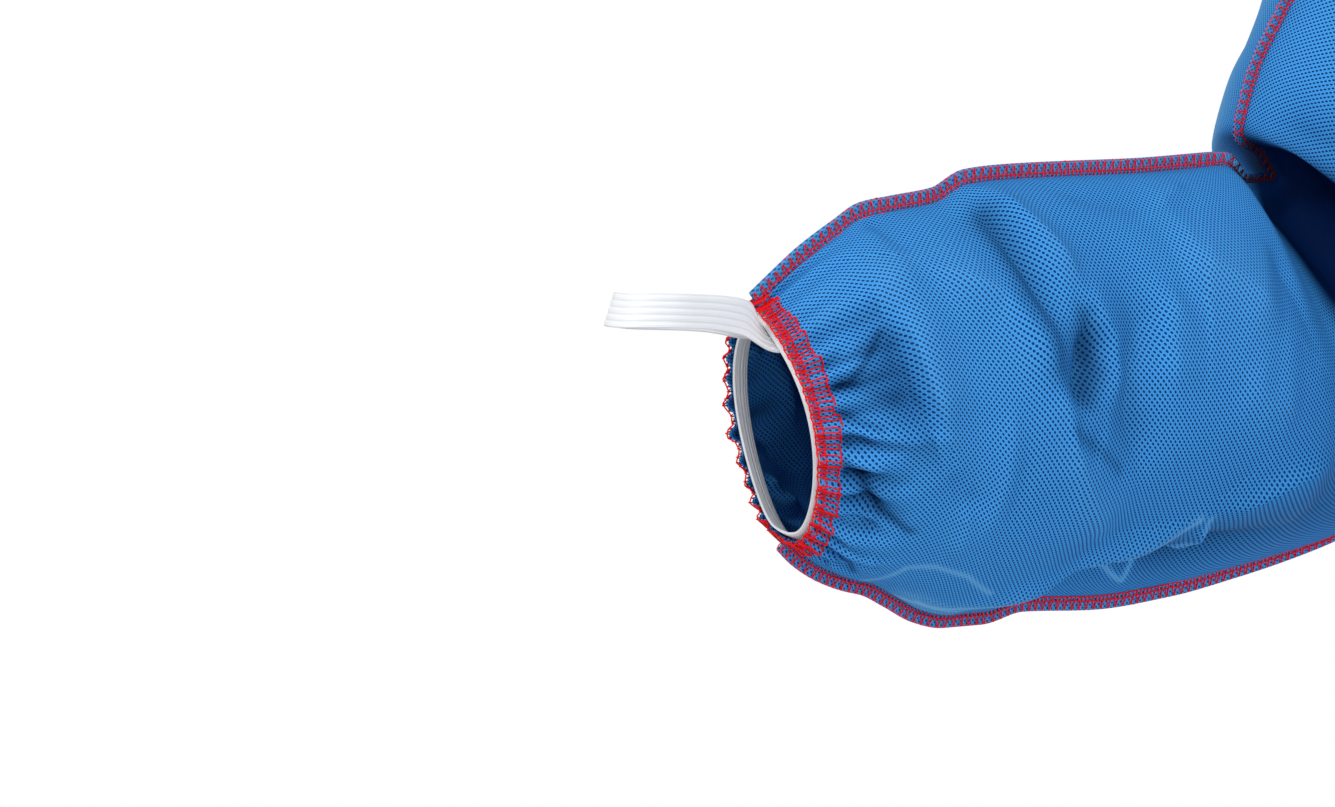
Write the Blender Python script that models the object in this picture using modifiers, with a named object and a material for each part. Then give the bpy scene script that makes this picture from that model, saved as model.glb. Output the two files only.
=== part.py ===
"""Disposable coverall of blue nonwoven cloth, in the form it has when worn, with no wearer in it.

The origin is the middle of the neck opening at shoulder height, where the wearer's shoulders carry it.
+Z is up, the zip faces -Y and the wearer's right side is at -X. All sizes are in metres.
Cloth panels meet in raised seams: two lips stand side by side, a hair apart, as an overlocked edge does.
"""

import math

import bmesh
import bpy
import numpy as np

# Cloth and seams
WALL = 0.0011
GAP = 0.0003
LIP = 0.005
ELASTIC_WALL = 0.001
ELASTIC_WIDTH = 0.007
ELASTIC_INSET = 0.0022
LOOP_WALL = 0.0013
LOOP_WIDTH = 0.0114
LOOP_INSET = 0.0041
SLEEVE_GIRTH = 0.19
BODY_GIRTH = 0.3
FOLD_EASING = 0.02

# Heights and half widths of the body, and the neck
HOOD_MIDDLE = (0.02, 0.14)
HOOD_RISE = 0.185
HOOD_REACH = 0.135
HOOD_BULGE = 0.06
HOOD_INSIDE = (0.0, 0.02, 0.12)
HOOD_ELASTIC_GAP = 0.0006
FACE_HALF = 0.084
SHOULDER_TIP = (-0.205, 0.0, -0.05)
UNDERARM = (-0.215, 0.02, -0.225)
ARMHOLE_DEPTH = 0.085
ARMHOLE_HOLLOW = 0.022
# How the sleeve leans as it leaves the armhole, at the shoulder's tip and at the underarm
LEAVE_TIP = (-0.5, 0.0, 0.3)
LEAVE_UNDERARM = (-1.5, 0.0, 0.9)
NECK_SIDE = 0.078
NECK_FRONT = 0.095
NECK_BACK = 0.08
NECK_SHIFT = 0.01
NECK_DROP = 0.058
NECK_RISE = 0.012
HIP_Z = -0.63
CROTCH_RISE = 0.125

# The front zip: half the space between the panels' turned edges, and its parts
ZIP_END_Z = -0.6
ZIP_EDGE = 0.007
ZIP_FLAT = 0.0028
TAPE_WALL = 0.0008
TAPE_GAP = 0.0007
TAPE_INNER = 0.0012
TAPE_OUTER = 0.0165
CHAIN_SIDE = np.array([0.0028, 0.0, 0.0])
CHAIN_WALL = 0.002
PULL_AXIS_OUT = 0.0048

# Torso and leg sections, top to bottom
# height, half width, front depth, back depth
TORSO = (
    (-0.225, 0.215, 0.145, 0.145),
    (-0.245, 0.207, 0.145, 0.143),
    (-0.300, 0.202, 0.142, 0.138),
    (-0.430, 0.195, 0.134, 0.122),
    (-0.540, 0.212, 0.136, 0.140),
    (HIP_Z, 0.230, 0.138, 0.156),
    (HIP_Z - CROTCH_RISE, 0.236, 0.136, 0.152),
)
# height, centre line from the middle, half width, front depth, back depth
LEG = (
    (HIP_Z - CROTCH_RISE, 0.1180, 0.1180, 0.124, 0.134),
    (-0.766, 0.1230, 0.1120, 0.123, 0.132),
    (-0.790, 0.1275, 0.1060, 0.121, 0.129),
    (-0.860, 0.1300, 0.1000, 0.113, 0.118),
    (-1.000, 0.1390, 0.0910, 0.100, 0.102),
    (-1.120, 0.1470, 0.0840, 0.088, 0.096),
    (-1.250, 0.1560, 0.0790, 0.082, 0.088),
    (-1.340, 0.1620, 0.0720, 0.075, 0.080),
    (-1.372, 0.1640, 0.0560, 0.060, 0.064),
    (-1.383, 0.1648, 0.0480, 0.052, 0.055),
    (-1.390, 0.1650, 0.0470, 0.051, 0.054),
)

# The right arm: the wrist's and elbow's centres and the way from the elbow to the shoulder
RIGHT_WRIST = (-0.539, -0.1495, -0.355)
RIGHT_ELBOW = (-0.339, 0.0, -0.345)
RIGHT_UPPER = (0.42, 0.0, 0.9075)
# Sections across the right sleeve, cuff to shoulder, in the plane in which the arm bends: along the
# forearm from the wrist and up from it, of the crook's seam and of the elbow's seam; how far the front
# and the back stand out; how pointed the section is at each seam; and the height of the lips
# crook along, crook up, elbow along, elbow up, front, back, crook point, elbow point, lip
RIGHT_SECTIONS = (
    (-0.0306, 0.0442, -0.0040, -0.0370, 0.025, 0.022, 1.9, 0.70, 0.0050),
    (-0.0230, 0.0510, 0.0030, -0.0425, 0.029, 0.026, 1.8, 0.80, 0.0050),
    (-0.0136, 0.0590, 0.0130, -0.0480, 0.035, 0.031, 1.7, 0.90, 0.0050),
    (-0.0007, 0.0676, 0.0240, -0.0520, 0.041, 0.036, 1.5, 1.00, 0.0050),
    (0.0081, 0.0728, 0.0340, -0.0545, 0.044, 0.039, 1.4, 1.05, 0.0050),
    (0.0201, 0.0747, 0.0450, -0.0595, 0.046, 0.041, 1.3, 1.10, 0.0050),
    (0.0382, 0.0774, 0.0590, -0.0660, 0.049, 0.043, 1.3, 1.15, 0.0050),
    (0.0506, 0.0834, 0.0710, -0.0685, 0.050, 0.044, 1.3, 1.20, 0.0050),
    (0.0684, 0.0849, 0.0875, -0.0685, 0.050, 0.045, 1.3, 1.30, 0.0050),
    (0.0928, 0.0856, 0.1060, -0.0650, 0.050, 0.045, 1.3, 1.50, 0.0050),
    (0.1246, 0.0862, 0.1420, -0.0665, 0.050, 0.046, 1.3, 1.80, 0.0050),
    (0.1522, 0.0876, 0.1750, -0.0640, 0.050, 0.047, 1.3, 2.00, 0.0050),
    (0.1671, 0.0885, 0.2080, -0.0590, 0.047, 0.048, 1.3, 2.00, 0.0045),
    (0.1790, 0.0825, 0.2400, -0.0535, 0.038, 0.049, 1.5, 1.90, 0.0030),
    (0.1930, 0.0845, 0.2720, -0.0440, 0.034, 0.050, 1.6, 1.80, 0.0022),
    (0.1840, 0.0945, 0.3000, -0.0270, 0.043, 0.052, 1.4, 1.60, 0.0022),
    (0.1742, 0.1015, 0.3200, -0.0040, 0.052, 0.054, 1.2, 1.50, 0.0040),
    (0.1769, 0.1203, 0.3320, 0.0200, 0.058, 0.056, 1.2, 1.40, 0.0050),
    (0.1881, 0.1477, 0.3460, 0.0550, 0.064, 0.060, 1.2, 1.30, 0.0050),
    (0.1960, 0.1700, 0.3560, 0.0800, 0.068, 0.064, 1.2, 1.20, 0.0050),
)

# The left arm hangs, and is built as a right one and mirrored
LEFT_WRIST = (-0.445, -0.11, -0.60)
LEFT_ELBOW = (-0.362, 0.0, -0.39)
LEFT_UPPER = (0.34, 0.0, 0.94)
LEFT_SECTIONS = (
    (-0.0190, 0.0420, -0.0190, -0.0420, 0.025, 0.024, 1.1, 1.1, 0.0050),
    (-0.0120, 0.0450, -0.0120, -0.0450, 0.029, 0.027, 1.1, 1.1, 0.0050),
    (0.0000, 0.0560, 0.0000, -0.0560, 0.037, 0.034, 1.2, 1.2, 0.0050),
    (0.0250, 0.0700, 0.0250, -0.0700, 0.045, 0.041, 1.2, 1.2, 0.0050),
    (0.0800, 0.0760, 0.0850, -0.0740, 0.049, 0.045, 1.2, 1.3, 0.0050),
    (0.1400, 0.0800, 0.1600, -0.0760, 0.052, 0.049, 1.2, 1.4, 0.0050),
    (0.1950, 0.0850, 0.2300, -0.0780, 0.056, 0.053, 1.2, 1.4, 0.0050),
    (0.2350, 0.0980, 0.2900, -0.0680, 0.060, 0.057, 1.2, 1.3, 0.0050),
    (0.2850, 0.1220, 0.3500, -0.0400, 0.064, 0.061, 1.2, 1.2, 0.0050),
    (0.3100, 0.1350, 0.3820, -0.0220, 0.066, 0.063, 1.2, 1.2, 0.0050),
)

# Large folds in metres, on each panel as if laid flat: along a sleeve from the cuff's rim and across it
# from the seam over the thumb, or down the body and across it from the middle. A trough is negative.
# start along, start across, end along, end across, half width, height
RIGHT_FRONT_FOLDS = (
    (0.030, 0.043, 0.069, 0.051, 0.014, 0.0030),
    (0.069, 0.051, 0.083, 0.084, 0.012, 0.0035),
    (0.083, 0.084, 0.125, 0.136, 0.014, 0.0035),
    (0.077, 0.010, 0.085, 0.068, 0.009, -0.0040),
    (0.100, 0.063, 0.091, 0.088, 0.008, -0.0040),
    (0.140, 0.057, 0.117, 0.076, 0.014, -0.0050),
    (0.117, 0.076, 0.125, 0.114, 0.014, -0.0050),
    (0.146, 0.050, 0.188, 0.070, 0.016, 0.0040),
    (0.091, 0.152, 0.160, 0.126, 0.012, 0.0040),
    (0.160, 0.126, 0.216, 0.113, 0.012, 0.0045),
    (0.086, 0.171, 0.165, 0.152, 0.014, -0.0075),
    (0.165, 0.152, 0.210, 0.141, 0.014, -0.0075),
    (0.029, 0.056, 0.024, 0.082, 0.008, -0.0030),
    (0.019, 0.118, 0.034, 0.136, 0.007, -0.0020),
)
RIGHT_BACK_FOLDS = (
    (0.022, 0.055, 0.056, 0.062, 0.014, 0.0034),
    (0.062, 0.020, 0.071, 0.075, 0.011, -0.0040),
    (0.078, 0.028, 0.096, 0.110, 0.014, 0.0030),
    (0.111, 0.040, 0.133, 0.125, 0.014, -0.0045),
    (0.146, 0.036, 0.172, 0.116, 0.017, 0.0034),
    (0.198, 0.036, 0.211, 0.124, 0.012, -0.0036),
    (0.226, 0.040, 0.241, 0.112, 0.012, 0.0034),
)
LEFT_FOLDS = (
    (0.060, 0.030, 0.070, 0.130, 0.018, -0.0045),
    (0.110, 0.020, 0.095, 0.120, 0.020, 0.0040),
    (0.185, 0.040, 0.165, 0.150, 0.022, -0.0060),
    (0.255, 0.020, 0.240, 0.130, 0.020, 0.0045),
)
BODY_FRONT_FOLDS = (
    (0.390, 0.060, 0.450, 0.240, 0.030, -0.0080),
    (0.480, 0.240, 0.560, 0.060, 0.032, 0.0070),
    (0.700, 0.080, 0.640, 0.250, 0.030, -0.0080),
    (0.960, 0.060, 0.990, 0.240, 0.045, -0.0070),
)
BODY_BACK_FOLDS = (
    (0.420, 0.050, 0.400, 0.240, 0.032, 0.0080),
    (0.480, 0.060, 0.520, 0.250, 0.030, -0.0080),
    (0.690, 0.070, 0.650, 0.250, 0.032, -0.0080),
    (1.000, 0.060, 0.970, 0.240, 0.045, 0.0080),
)

# Colours: linear red, green and blue, with roughness and metallic
BLUE = (0.055, 0.195, 0.515, 0.62, 0.0)
WHITE = (0.86, 0.87, 0.88, 0.7, 0.0)
ZIP_BLUE = (0.045, 0.16, 0.43, 0.45, 0.0)
METAL = (0.62, 0.63, 0.65, 0.35, 1.0)

COLLECTION = "disposable_coverall"


def clear_scene():
    for item in list(bpy.data.objects):
        bpy.data.objects.remove(item, do_unlink=True)


def unit(vectors):
    vectors = np.asarray(vectors, dtype=float)
    return vectors / np.linalg.norm(vectors, axis=-1, keepdims=True)


def ease(t):
    t = np.clip(t, 0.0, 1.0)
    return t * t * (3.0 - 2.0 * t)


def follow(places, values, at):
    """Values of a table at one place, on a smooth curve that doesn't overshoot its rows."""
    places = np.asarray(places, dtype=float)
    values = np.asarray(values, dtype=float)
    step = np.diff(places)[:, None]
    slope = np.diff(values, axis=0) / step
    product = slope[1:] * slope[:-1]
    total = slope[1:] + slope[:-1]
    inner = np.where(product > 0, 2 * product / np.where(total == 0, 1.0, total), 0.0)
    tangent = np.vstack([slope[:1], inner, slope[-1:]])
    k = int(np.clip(np.searchsorted(places, at, side="right") - 1, 0, len(places) - 2))
    width = step[k, 0]
    t = (at - places[k]) / width
    return (
        (2 * t**3 - 3 * t**2 + 1) * values[k]
        + (t**3 - 2 * t**2 + t) * width * tangent[k]
        + (3 * t**2 - 2 * t**3) * values[k + 1]
        + (t**3 - t**2) * width * tangent[k + 1]
    )


def fold_height(folds, along, across):
    """Height of the soft troughs and ridges of a table at points of a panel laid flat."""
    height = np.zeros(np.broadcast(along, across).shape)
    for start_along, start_across, end_along, end_across, half_width, lift in folds:
        run = np.array([end_along - start_along, end_across - start_across])
        length = float(np.hypot(*run))
        run /= length
        forward = (along - start_along) * run[0] + (across - start_across) * run[1]
        aside = (across - start_across) * run[0] - (along - start_along) * run[1]
        middle = np.clip(forward, 0.0, length)
        beyond = forward - middle
        height = height + lift * np.exp(-(aside**2 + beyond**2) / half_width**2)
    return height


def divide(places, longest):
    """The places of a table's rows, with more between them where they lie far apart."""
    out = [places[0]]
    for low, high in zip(places[:-1], places[1:]):
        parts = max(1, math.ceil((high - low) / longest - 0.25))
        out += [low + (high - low) * k / parts for k in range(1, parts + 1)]
    return out


def material(name, look):
    red, green, blue, roughness, metallic = look
    made = bpy.data.materials.get(name) or bpy.data.materials.new(name)
    made.use_nodes = True
    shader = made.node_tree.nodes["Principled BSDF"]
    shader.inputs["Base Color"].default_value = (red, green, blue, 1.0)
    shader.inputs["Roughness"].default_value = roughness
    shader.inputs["Metallic"].default_value = metallic
    return made


def add_object(name, mesh, look_name, look):
    mesh.materials.append(material(look_name, look))
    made = bpy.data.objects.new(name, mesh)
    bpy.data.collections[COLLECTION].objects.link(made)
    return made


def bridge(bm, upper, lower):
    """Faces between two rows of (place, vertex); where the places differ the rows meet in triangles."""
    i = 0
    j = 0
    while i + 1 < len(upper) or j + 1 < len(lower):
        next_upper = upper[i + 1][0] if i + 1 < len(upper) else math.inf
        next_lower = lower[j + 1][0] if j + 1 < len(lower) else math.inf
        step_upper = next_upper <= next_lower + 1e-6
        step_lower = next_lower <= next_upper + 1e-6
        corner = [upper[i][1], lower[j][1]]
        if step_lower:
            corner.append(lower[j + 1][1])
        if step_upper:
            corner.append(upper[i + 1][1])
        bm.faces.new(corner)
        i += step_upper
        j += step_lower


def thicken(bm, wall):
    """Gives a panel with lips its wall, on the side its faces look to. It stands in for Solidify, whose
    even offset throws spikes where a lip and its panel meet sharply: here the wall thins there instead."""
    bm.normal_update()
    faces = list(bm.faces)
    edges = [edge for edge in bm.edges if edge.is_boundary]
    raised = {}
    for vertex in list(bm.verts):
        loops = vertex.link_loops
        normals = np.array([loop.face.normal for loop in loops])
        weights = np.array([loop.calc_angle() for loop in loops])[:, None]
        easing = FOLD_EASING * weights.sum()
        matrix = (normals * weights).T @ normals + easing * np.eye(3)
        shift = np.linalg.solve(matrix, (normals * weights).sum(axis=0)) * wall * (1 + FOLD_EASING)
        raised[vertex] = bm.verts.new(np.array(vertex.co) + shift)
    rims = []
    for edge in edges:
        loop = edge.link_loops[0]
        low, high = loop.vert, loop.link_loop_next.vert
        rims.append((low, high, raised[high], raised[low]))
    for face in faces:
        bm.faces.new([raised[vertex] for vertex in face.verts])
        face.normal_flip()
    for rim in rims:
        bm.faces.new(rim)


def finish(bm, name, look_name, look, wall=None):
    """Makes the object, with a Solidify modifier outwards if it has no wall yet."""
    mesh = bpy.data.meshes.new(name)
    bm.to_mesh(mesh)
    bm.free()
    made = add_object(name, mesh, look_name, look)
    if wall:
        solid = made.modifiers.new("wall", "SOLIDIFY")
        solid.thickness = wall
        solid.offset = 1.0
        solid.use_even_offset = True
    return made


def sheet(name, rows, outside, head=None, foot=None, mirrored=False):
    """A cloth panel from rows of (place, point), thickened outwards; head and foot are lips along the
    first and the last row. outside is about the way that the middle of the panel faces."""
    bm = surface(rows, outside, head, foot, mirrored)
    thicken(bm, WALL)
    return finish(bm, name, "cloth", BLUE)


def strip(name, rows, outside, wall, mirrored=False):
    """A part of the zip from rows of (place, point), thickened towards outside."""
    bm = surface(rows, outside, mirrored=mirrored)
    return finish(bm, name, "zip", ZIP_BLUE, wall)


def surface(rows, outside, head=None, foot=None, mirrored=False):
    bm = bmesh.new()
    sign = -1.0 if mirrored else 1.0

    def vertices(row):
        return [(place, bm.verts.new((sign * point[0], point[1], point[2]))) for place, point in row]

    made = [vertices(row) for row in rows]
    for upper, lower in zip(made[:-1], made[1:]):
        bridge(bm, upper, lower)
    if head:
        bridge(bm, vertices(head), [pair for pair in made[0] if 0 <= pair[0] <= 1])
    if foot:
        bridge(bm, [pair for pair in made[-1] if 0 <= pair[0] <= 1], vertices(foot))
    bmesh.ops.remove_doubles(bm, verts=bm.verts, dist=1e-6)
    bmesh.ops.recalc_face_normals(bm, faces=bm.faces)
    facing = sum(np.array(face.normal) * face.calc_area() for face in bm.faces)
    if np.dot(facing, (sign * outside[0], outside[1], outside[2])) < 0:
        bmesh.ops.reverse_faces(bm, faces=bm.faces)
    return bm


def band(name, rings, wall, mirrored=False, closed=True):
    """A strip of elastic through rings of points, thickened towards the inside of the ring."""
    bm = bmesh.new()
    sign = -1.0 if mirrored else 1.0
    made = [[bm.verts.new((sign * x, y, z)) for x, y, z in ring] for ring in rings]
    count = len(made[0])
    for low, high in zip(made[:-1], made[1:]):
        for k in range(count if closed else count - 1):
            bm.faces.new((low[k], low[(k + 1) % count], high[(k + 1) % count], high[k]))
    bmesh.ops.recalc_face_normals(bm, faces=bm.faces)
    middle = np.mean([vertex.co for vertex in bm.verts], axis=0)
    outward = sum(
        np.dot(face.normal, np.array(face.calc_center_median()) - middle) * face.calc_area() for face in bm.faces
    )
    if outward > 0:
        bmesh.ops.reverse_faces(bm, faces=bm.faces)
    return finish(bm, name, "elastic", WHITE, wall)


class Arm:
    """A sleeve as sections across an arm that bends in one plane, from the cuff's rim upwards."""

    def __init__(self, wrist, elbow, upper, sections):
        self.wrist = np.array(wrist)
        self.along = unit(np.array(elbow) - self.wrist)
        upper = unit(upper)
        self.up = unit(upper - np.dot(upper, self.along) * self.along)
        self.front = np.cross(self.along, self.up)
        self.upper = upper
        self.sections = np.array(sections)
        middle = (self.sections[:, 0:2] + self.sections[:, 2:4]) / 2
        steps = np.hypot(*np.diff(middle, axis=0).T)
        self.places = np.concatenate([[0.0], np.cumsum(steps)])

    def row(self, place):
        return follow(self.places, self.sections, place)

    def world(self, along, up, out):
        return (
            self.wrist
            + np.multiply.outer(along, self.along)
            + np.multiply.outer(up, self.up)
            + np.multiply.outer(out, self.front)
        )

    def point(self, place, round_, half, inset=0.0):
        """Points across one section: round_ is 0 at the crook's seam and 1 at the elbow's, half is 1 on
        the front and -1 on the back."""
        values = self.row(place)
        crook, elbow = values[0:2], values[2:4]
        depth = (values[4] if half > 0 else values[5]) - inset
        chord = np.hypot(*(elbow - crook))
        down = 0.5 - 0.5 * np.cos(math.pi * round_) * (1 - 2 * inset / chord)
        power = values[6] + (values[7] - values[6]) * round_
        out = depth * np.sin(math.pi * np.clip(round_, 0.0, 1.0)) ** power
        gap = GAP / 2 if inset == 0 else 0.0
        return self.world(
            crook[0] + (elbow[0] - crook[0]) * down, crook[1] + (elbow[1] - crook[1]) * down, half * (gap + out)
        )

    def normal(self, place, round_, half):
        step = 0.0015
        forward = self.point(place + step, round_, half) - self.point(place - step, round_, half)
        low = np.clip(round_ - 0.01, 0.0, 1.0)
        high = np.clip(round_ + 0.01, 0.0, 1.0)
        across = self.point(place, high, half) - self.point(place, low, half)
        out = unit(np.cross(forward, across))
        side = np.sign(np.dot(out[len(out) // 2], half * self.front))
        return out * side

    def lip(self, place, seam):
        """The way in which a seam's lips stand, and their height."""
        step = 0.004
        column = 0 if seam == "crook" else 2
        low = self.row(max(place - step, 0.0))
        high = self.row(min(place + step, self.places[-1]))
        run = high[column:column + 2] - low[column:column + 2]
        out = unit(np.array([-run[1], run[0]]))
        if seam == "elbow":
            out = -out
        return out[0] * self.along + out[1] * self.up, self.row(place)[8]

    def cells(self, place, count, half, folds=(), gather=0.0):
        """One row of the panel: points between the seams, with the folds and gathers of that row."""
        round_ = np.linspace(0.0, 1.0, count + 1)
        points = self.point(place, round_, half)
        height = fold_height(folds, place, round_ * SLEEVE_GIRTH) * ease(np.minimum(round_, 1 - round_) / 0.1)
        wave = gather * np.where(np.arange(count + 1) % 2 == 1, 1.0, -1.0)
        wave[[0, -1]] = 0.0
        return round_, points + self.normal(place, round_, half) * (height + wave)[:, None]


def armhole(half, count):
    """The right armhole from the shoulder's tip to the underarm: points and the way the lips stand."""
    turn = math.pi * (1.0 - np.linspace(0.0, 1.0, count + 1))
    tip = np.array(SHOULDER_TIP)
    low = np.array(UNDERARM)
    share = (1 - np.cos(turn)) / 2
    points = low + (tip - low) * share[:, None]
    points[:, 0] += ARMHOLE_HOLLOW * np.sin(turn) ** 2
    points[:, 1] -= half * ARMHOLE_DEPTH * np.sin(turn)
    aside = 0.25 + 0.1 * share**2 + 0.45 * (1 - share) ** 2
    stand = np.stack([-aside, -half * 1.1 * np.sin(turn), -0.85 * np.cos(turn)], axis=1)
    return points, unit(stand)


def seam_side(points, stand, toward):
    """Unit vectors from a seam into the panel that lies on the side of toward."""
    run = np.gradient(points, axis=0)
    into = unit(np.cross(run, stand))
    into[0] = into[1] if not np.isfinite(into[0]).all() else into[0]
    return into * np.sign(np.einsum("ij,ij->i", into, np.broadcast_to(toward, into.shape)))[:, None]


def coons(low, high, first, last):
    """Points across a panel between four edges: low and high run from first to last."""
    u = np.linspace(0.0, 1.0, len(low))[None, :, None]
    v = np.linspace(0.0, 1.0, len(first))[:, None, None]
    return (
        (1 - v) * low[None]
        + v * high[None]
        + (1 - u) * first[:, None]
        + u * last[:, None]
        - (1 - u) * (1 - v) * low[0]
        - u * (1 - v) * low[-1]
        - (1 - u) * v * high[0]
        - u * v * high[-1]
    )


# The right sleeve's meshes have few wide rows on the upper arm and close ones at the cuff
ARMHOLE_CELLS = 7


def sleeve_panel(name, arm, half, cells, cuff_rows, longest, folds, mirrored=False):
    """Half a sleeve, from the armhole to the rim of the cuff."""
    rows = []
    points, stand = armhole(half, ARMHOLE_CELLS)
    into = seam_side(points, stand, (-1.0, 0.0, 0.0))
    hole = points + into * GAP / 2
    hole[[0, -1], 1] -= half * GAP / 2
    lips = hole + stand * LIP
    places = np.linspace(0.0, 1.0, ARMHOLE_CELLS + 1)
    head = list(zip(places, lips))
    rows.append([(-1.0, lips[0])] + list(zip(places, hole)) + [(2.0, lips[-1])])

    cuff_end = cuff_rows[-1][0]
    top_place = arm.places[-1]
    body = [place for place in divide(list(arm.places), longest) if place > cuff_end + 0.004]
    top_round, top = arm.cells(top_place, cells, half)
    hole_cells = np.array([follow(places, hole, at) for at in top_round])
    across = top - hole_cells
    reach = np.linalg.norm(across, axis=1, keepdims=True)
    outward = np.outer(1 - top_round, LEAVE_TIP) + np.outer(top_round, LEAVE_UNDERARM)
    leave = unit(across / reach + outward)
    for t in (0.2, 0.5, 0.8):
        between = (
            (2 * t**3 - 3 * t**2 + 1) * hole_cells
            + (t**3 - 2 * t**2 + t) * reach * leave
            + (3 * t**2 - 2 * t**3) * top
            - (t**3 - t**2) * reach * arm.upper
        )
        down = unit(between[-1] - between[0])
        early = (1 - t) ** 3
        ends = [between[0] + unit(early * stand[0] - down) * LIP, between[-1] + unit(early * stand[-1] + down) * LIP]
        rows.append([(-1.0, ends[0])] + list(zip(top_round, between)) + [(2.0, ends[1])])

    def add(place, count, gather):
        round_, line = arm.cells(place, count, half, folds, gather)
        crook, crook_height = arm.lip(place, "crook")
        elbow, elbow_height = arm.lip(place, "elbow")
        rows.append(
            [(-1.0, line[0] + crook * crook_height)]
            + list(zip(round_, line))
            + [(2.0, line[-1] + elbow * elbow_height)]
        )

    for place in reversed(body):
        add(place, cells, 0.0)
    for place, count, gather in reversed(cuff_rows):
        add(place, count, gather)
    return sheet(name, rows, half * arm.front, head=head, mirrored=mirrored)


def cuff_elastic(name, arm, count, inset, mirrored=False):
    """The elastic inside the rim of a cuff."""
    rings = []
    for place in (0.0, ELASTIC_WIDTH):
        half_turn = np.linspace(0.0, 1.0, count + 1)
        front = arm.point(place, half_turn, 1.0, inset)
        back = arm.point(place, half_turn, -1.0, inset)
        rings.append(list(front) + list(back[-2:0:-1]))
    return band(name, rings, ELASTIC_WALL, mirrored)


LOOP_ROUTE = (
    # along, up, out from the wrist, from the palm's side of the cuff round to the back of the hand
    (-0.0429, 0.0428, 0.0100),
    (-0.0600, 0.0457, 0.0120),
    (-0.0765, 0.0466, 0.0120),
    (-0.0855, 0.0462, 0.0090),
    (-0.0880, 0.0446, 0.0020),
    (-0.0865, 0.0430, -0.0060),
    (-0.0790, 0.0408, -0.0125),
    (-0.0690, 0.0391, -0.0150),
    (-0.0560, 0.0381, -0.0160),
    (-0.0405, 0.0377, -0.0130),
)
LOOP_FROM = 0.125
LOOP_TO = 0.23


def thumb_loop(name, arm, inset, mirrored=False):
    """A flat elastic loop from inside the cuff, out over the palm and back behind."""
    tilt = unit(0.98 * arm.up + 0.2 * arm.along)
    lines = []
    for side in (0.0, 0.5, 1.0):
        round_ = np.array([LOOP_FROM + (LOOP_TO - LOOP_FROM) * side])
        start = [arm.point(place, round_, 1.0, inset)[0] for place in (0.009, 0.005, 0.0)]
        end = [arm.point(place, round_, -1.0, inset)[0] for place in (0.0, 0.005, 0.009)]
        free = [arm.world(*step) + tilt * LOOP_WIDTH * (0.5 - side) for step in LOOP_ROUTE]
        lines.append(start + free + end)
    return band(name, lines, LOOP_WALL, mirrored, closed=False)


# The body: half is 1 for the front and -1 for the back; rows run from the neck to the ankle, with the
# middle seam or the inseam at place 0 and the armhole, side or outer leg at place 1
NECK_CELLS = 4
BODY_CELLS = 8
ANKLE_CELLS = 12
NECK_STAND = (1.0, 1.0, 0.08, 0.27)
NECK_LEAN = 0.4
SIDE_STRAIGHT_Z = -0.34


def neckline(half):
    """From the middle to the side of the neck: points and the way the lips stand."""
    turn = np.linspace(0.0, math.pi / 2, NECK_CELLS + 1)
    edge = ZIP_EDGE if half > 0 else GAP / 2
    across = -edge - (NECK_SIDE - edge) * np.sin(turn)
    if half > 0:
        deep = NECK_SHIFT - NECK_FRONT * np.cos(turn)
        high = -NECK_DROP * np.cos(turn) ** 1.5
    else:
        deep = NECK_SHIFT + NECK_BACK * np.cos(turn)
        high = NECK_RISE * np.cos(turn)
    side, ahead, rise, lift = NECK_STAND
    aside = side * np.sin(turn) + (NECK_LEAN * np.cos(turn) ** 4 if half > 0 else 0.0)
    stand = np.stack([-aside, -half * ahead * np.cos(turn), rise + lift * np.sin(turn)], axis=1)
    return np.stack([across, deep, high], axis=1), unit(stand)


def push_out(points, height, half):
    """Moves a level row's points out from the body."""
    run = np.gradient(points, axis=0)
    out = unit(np.stack([run[:, 1], -run[:, 0], 0 * run[:, 0]], axis=1))
    middle = len(out) // 2
    return points + out * np.sign(-half * out[middle, 1]) * height[:, None]


def torso_row(z, half):
    _, wide, front, back = follow([row[0] for row in TORSO[::-1]], TORSO[::-1], z)
    turn = np.linspace(0.0, math.pi / 2, BODY_CELLS + 1)
    deep = front if half > 0 else back
    shift = UNDERARM[1] * ease((z - SIDE_STRAIGHT_Z) / (UNDERARM[2] - SIDE_STRAIGHT_Z)) * np.sin(turn) ** 3
    return np.stack([-wide * np.sin(turn), shift - half * (GAP / 2 + deep * np.cos(turn)), z + 0 * turn], axis=1)


def leg_row(z, half, count, inset=0.0, gather=0.0):
    _, middle, wide, front, back = follow([row[0] for row in LEG[::-1]], LEG[::-1], min(z, LEG[0][0]))
    turn = np.linspace(0.0, math.pi, count + 1)
    deep = (front if half > 0 else back) - inset
    wave = gather * np.where(np.arange(count + 1) % 2 == 1, 1.0, -1.0)
    wave[[0, -1]] = 0.0
    return np.stack(
        [
            -middle + (wide - inset + wave) * np.cos(turn),
            -half * (GAP / 2 + (deep + wave) * np.sin(turn)),
            z + 0 * turn,
        ],
        axis=1,
    )


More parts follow.
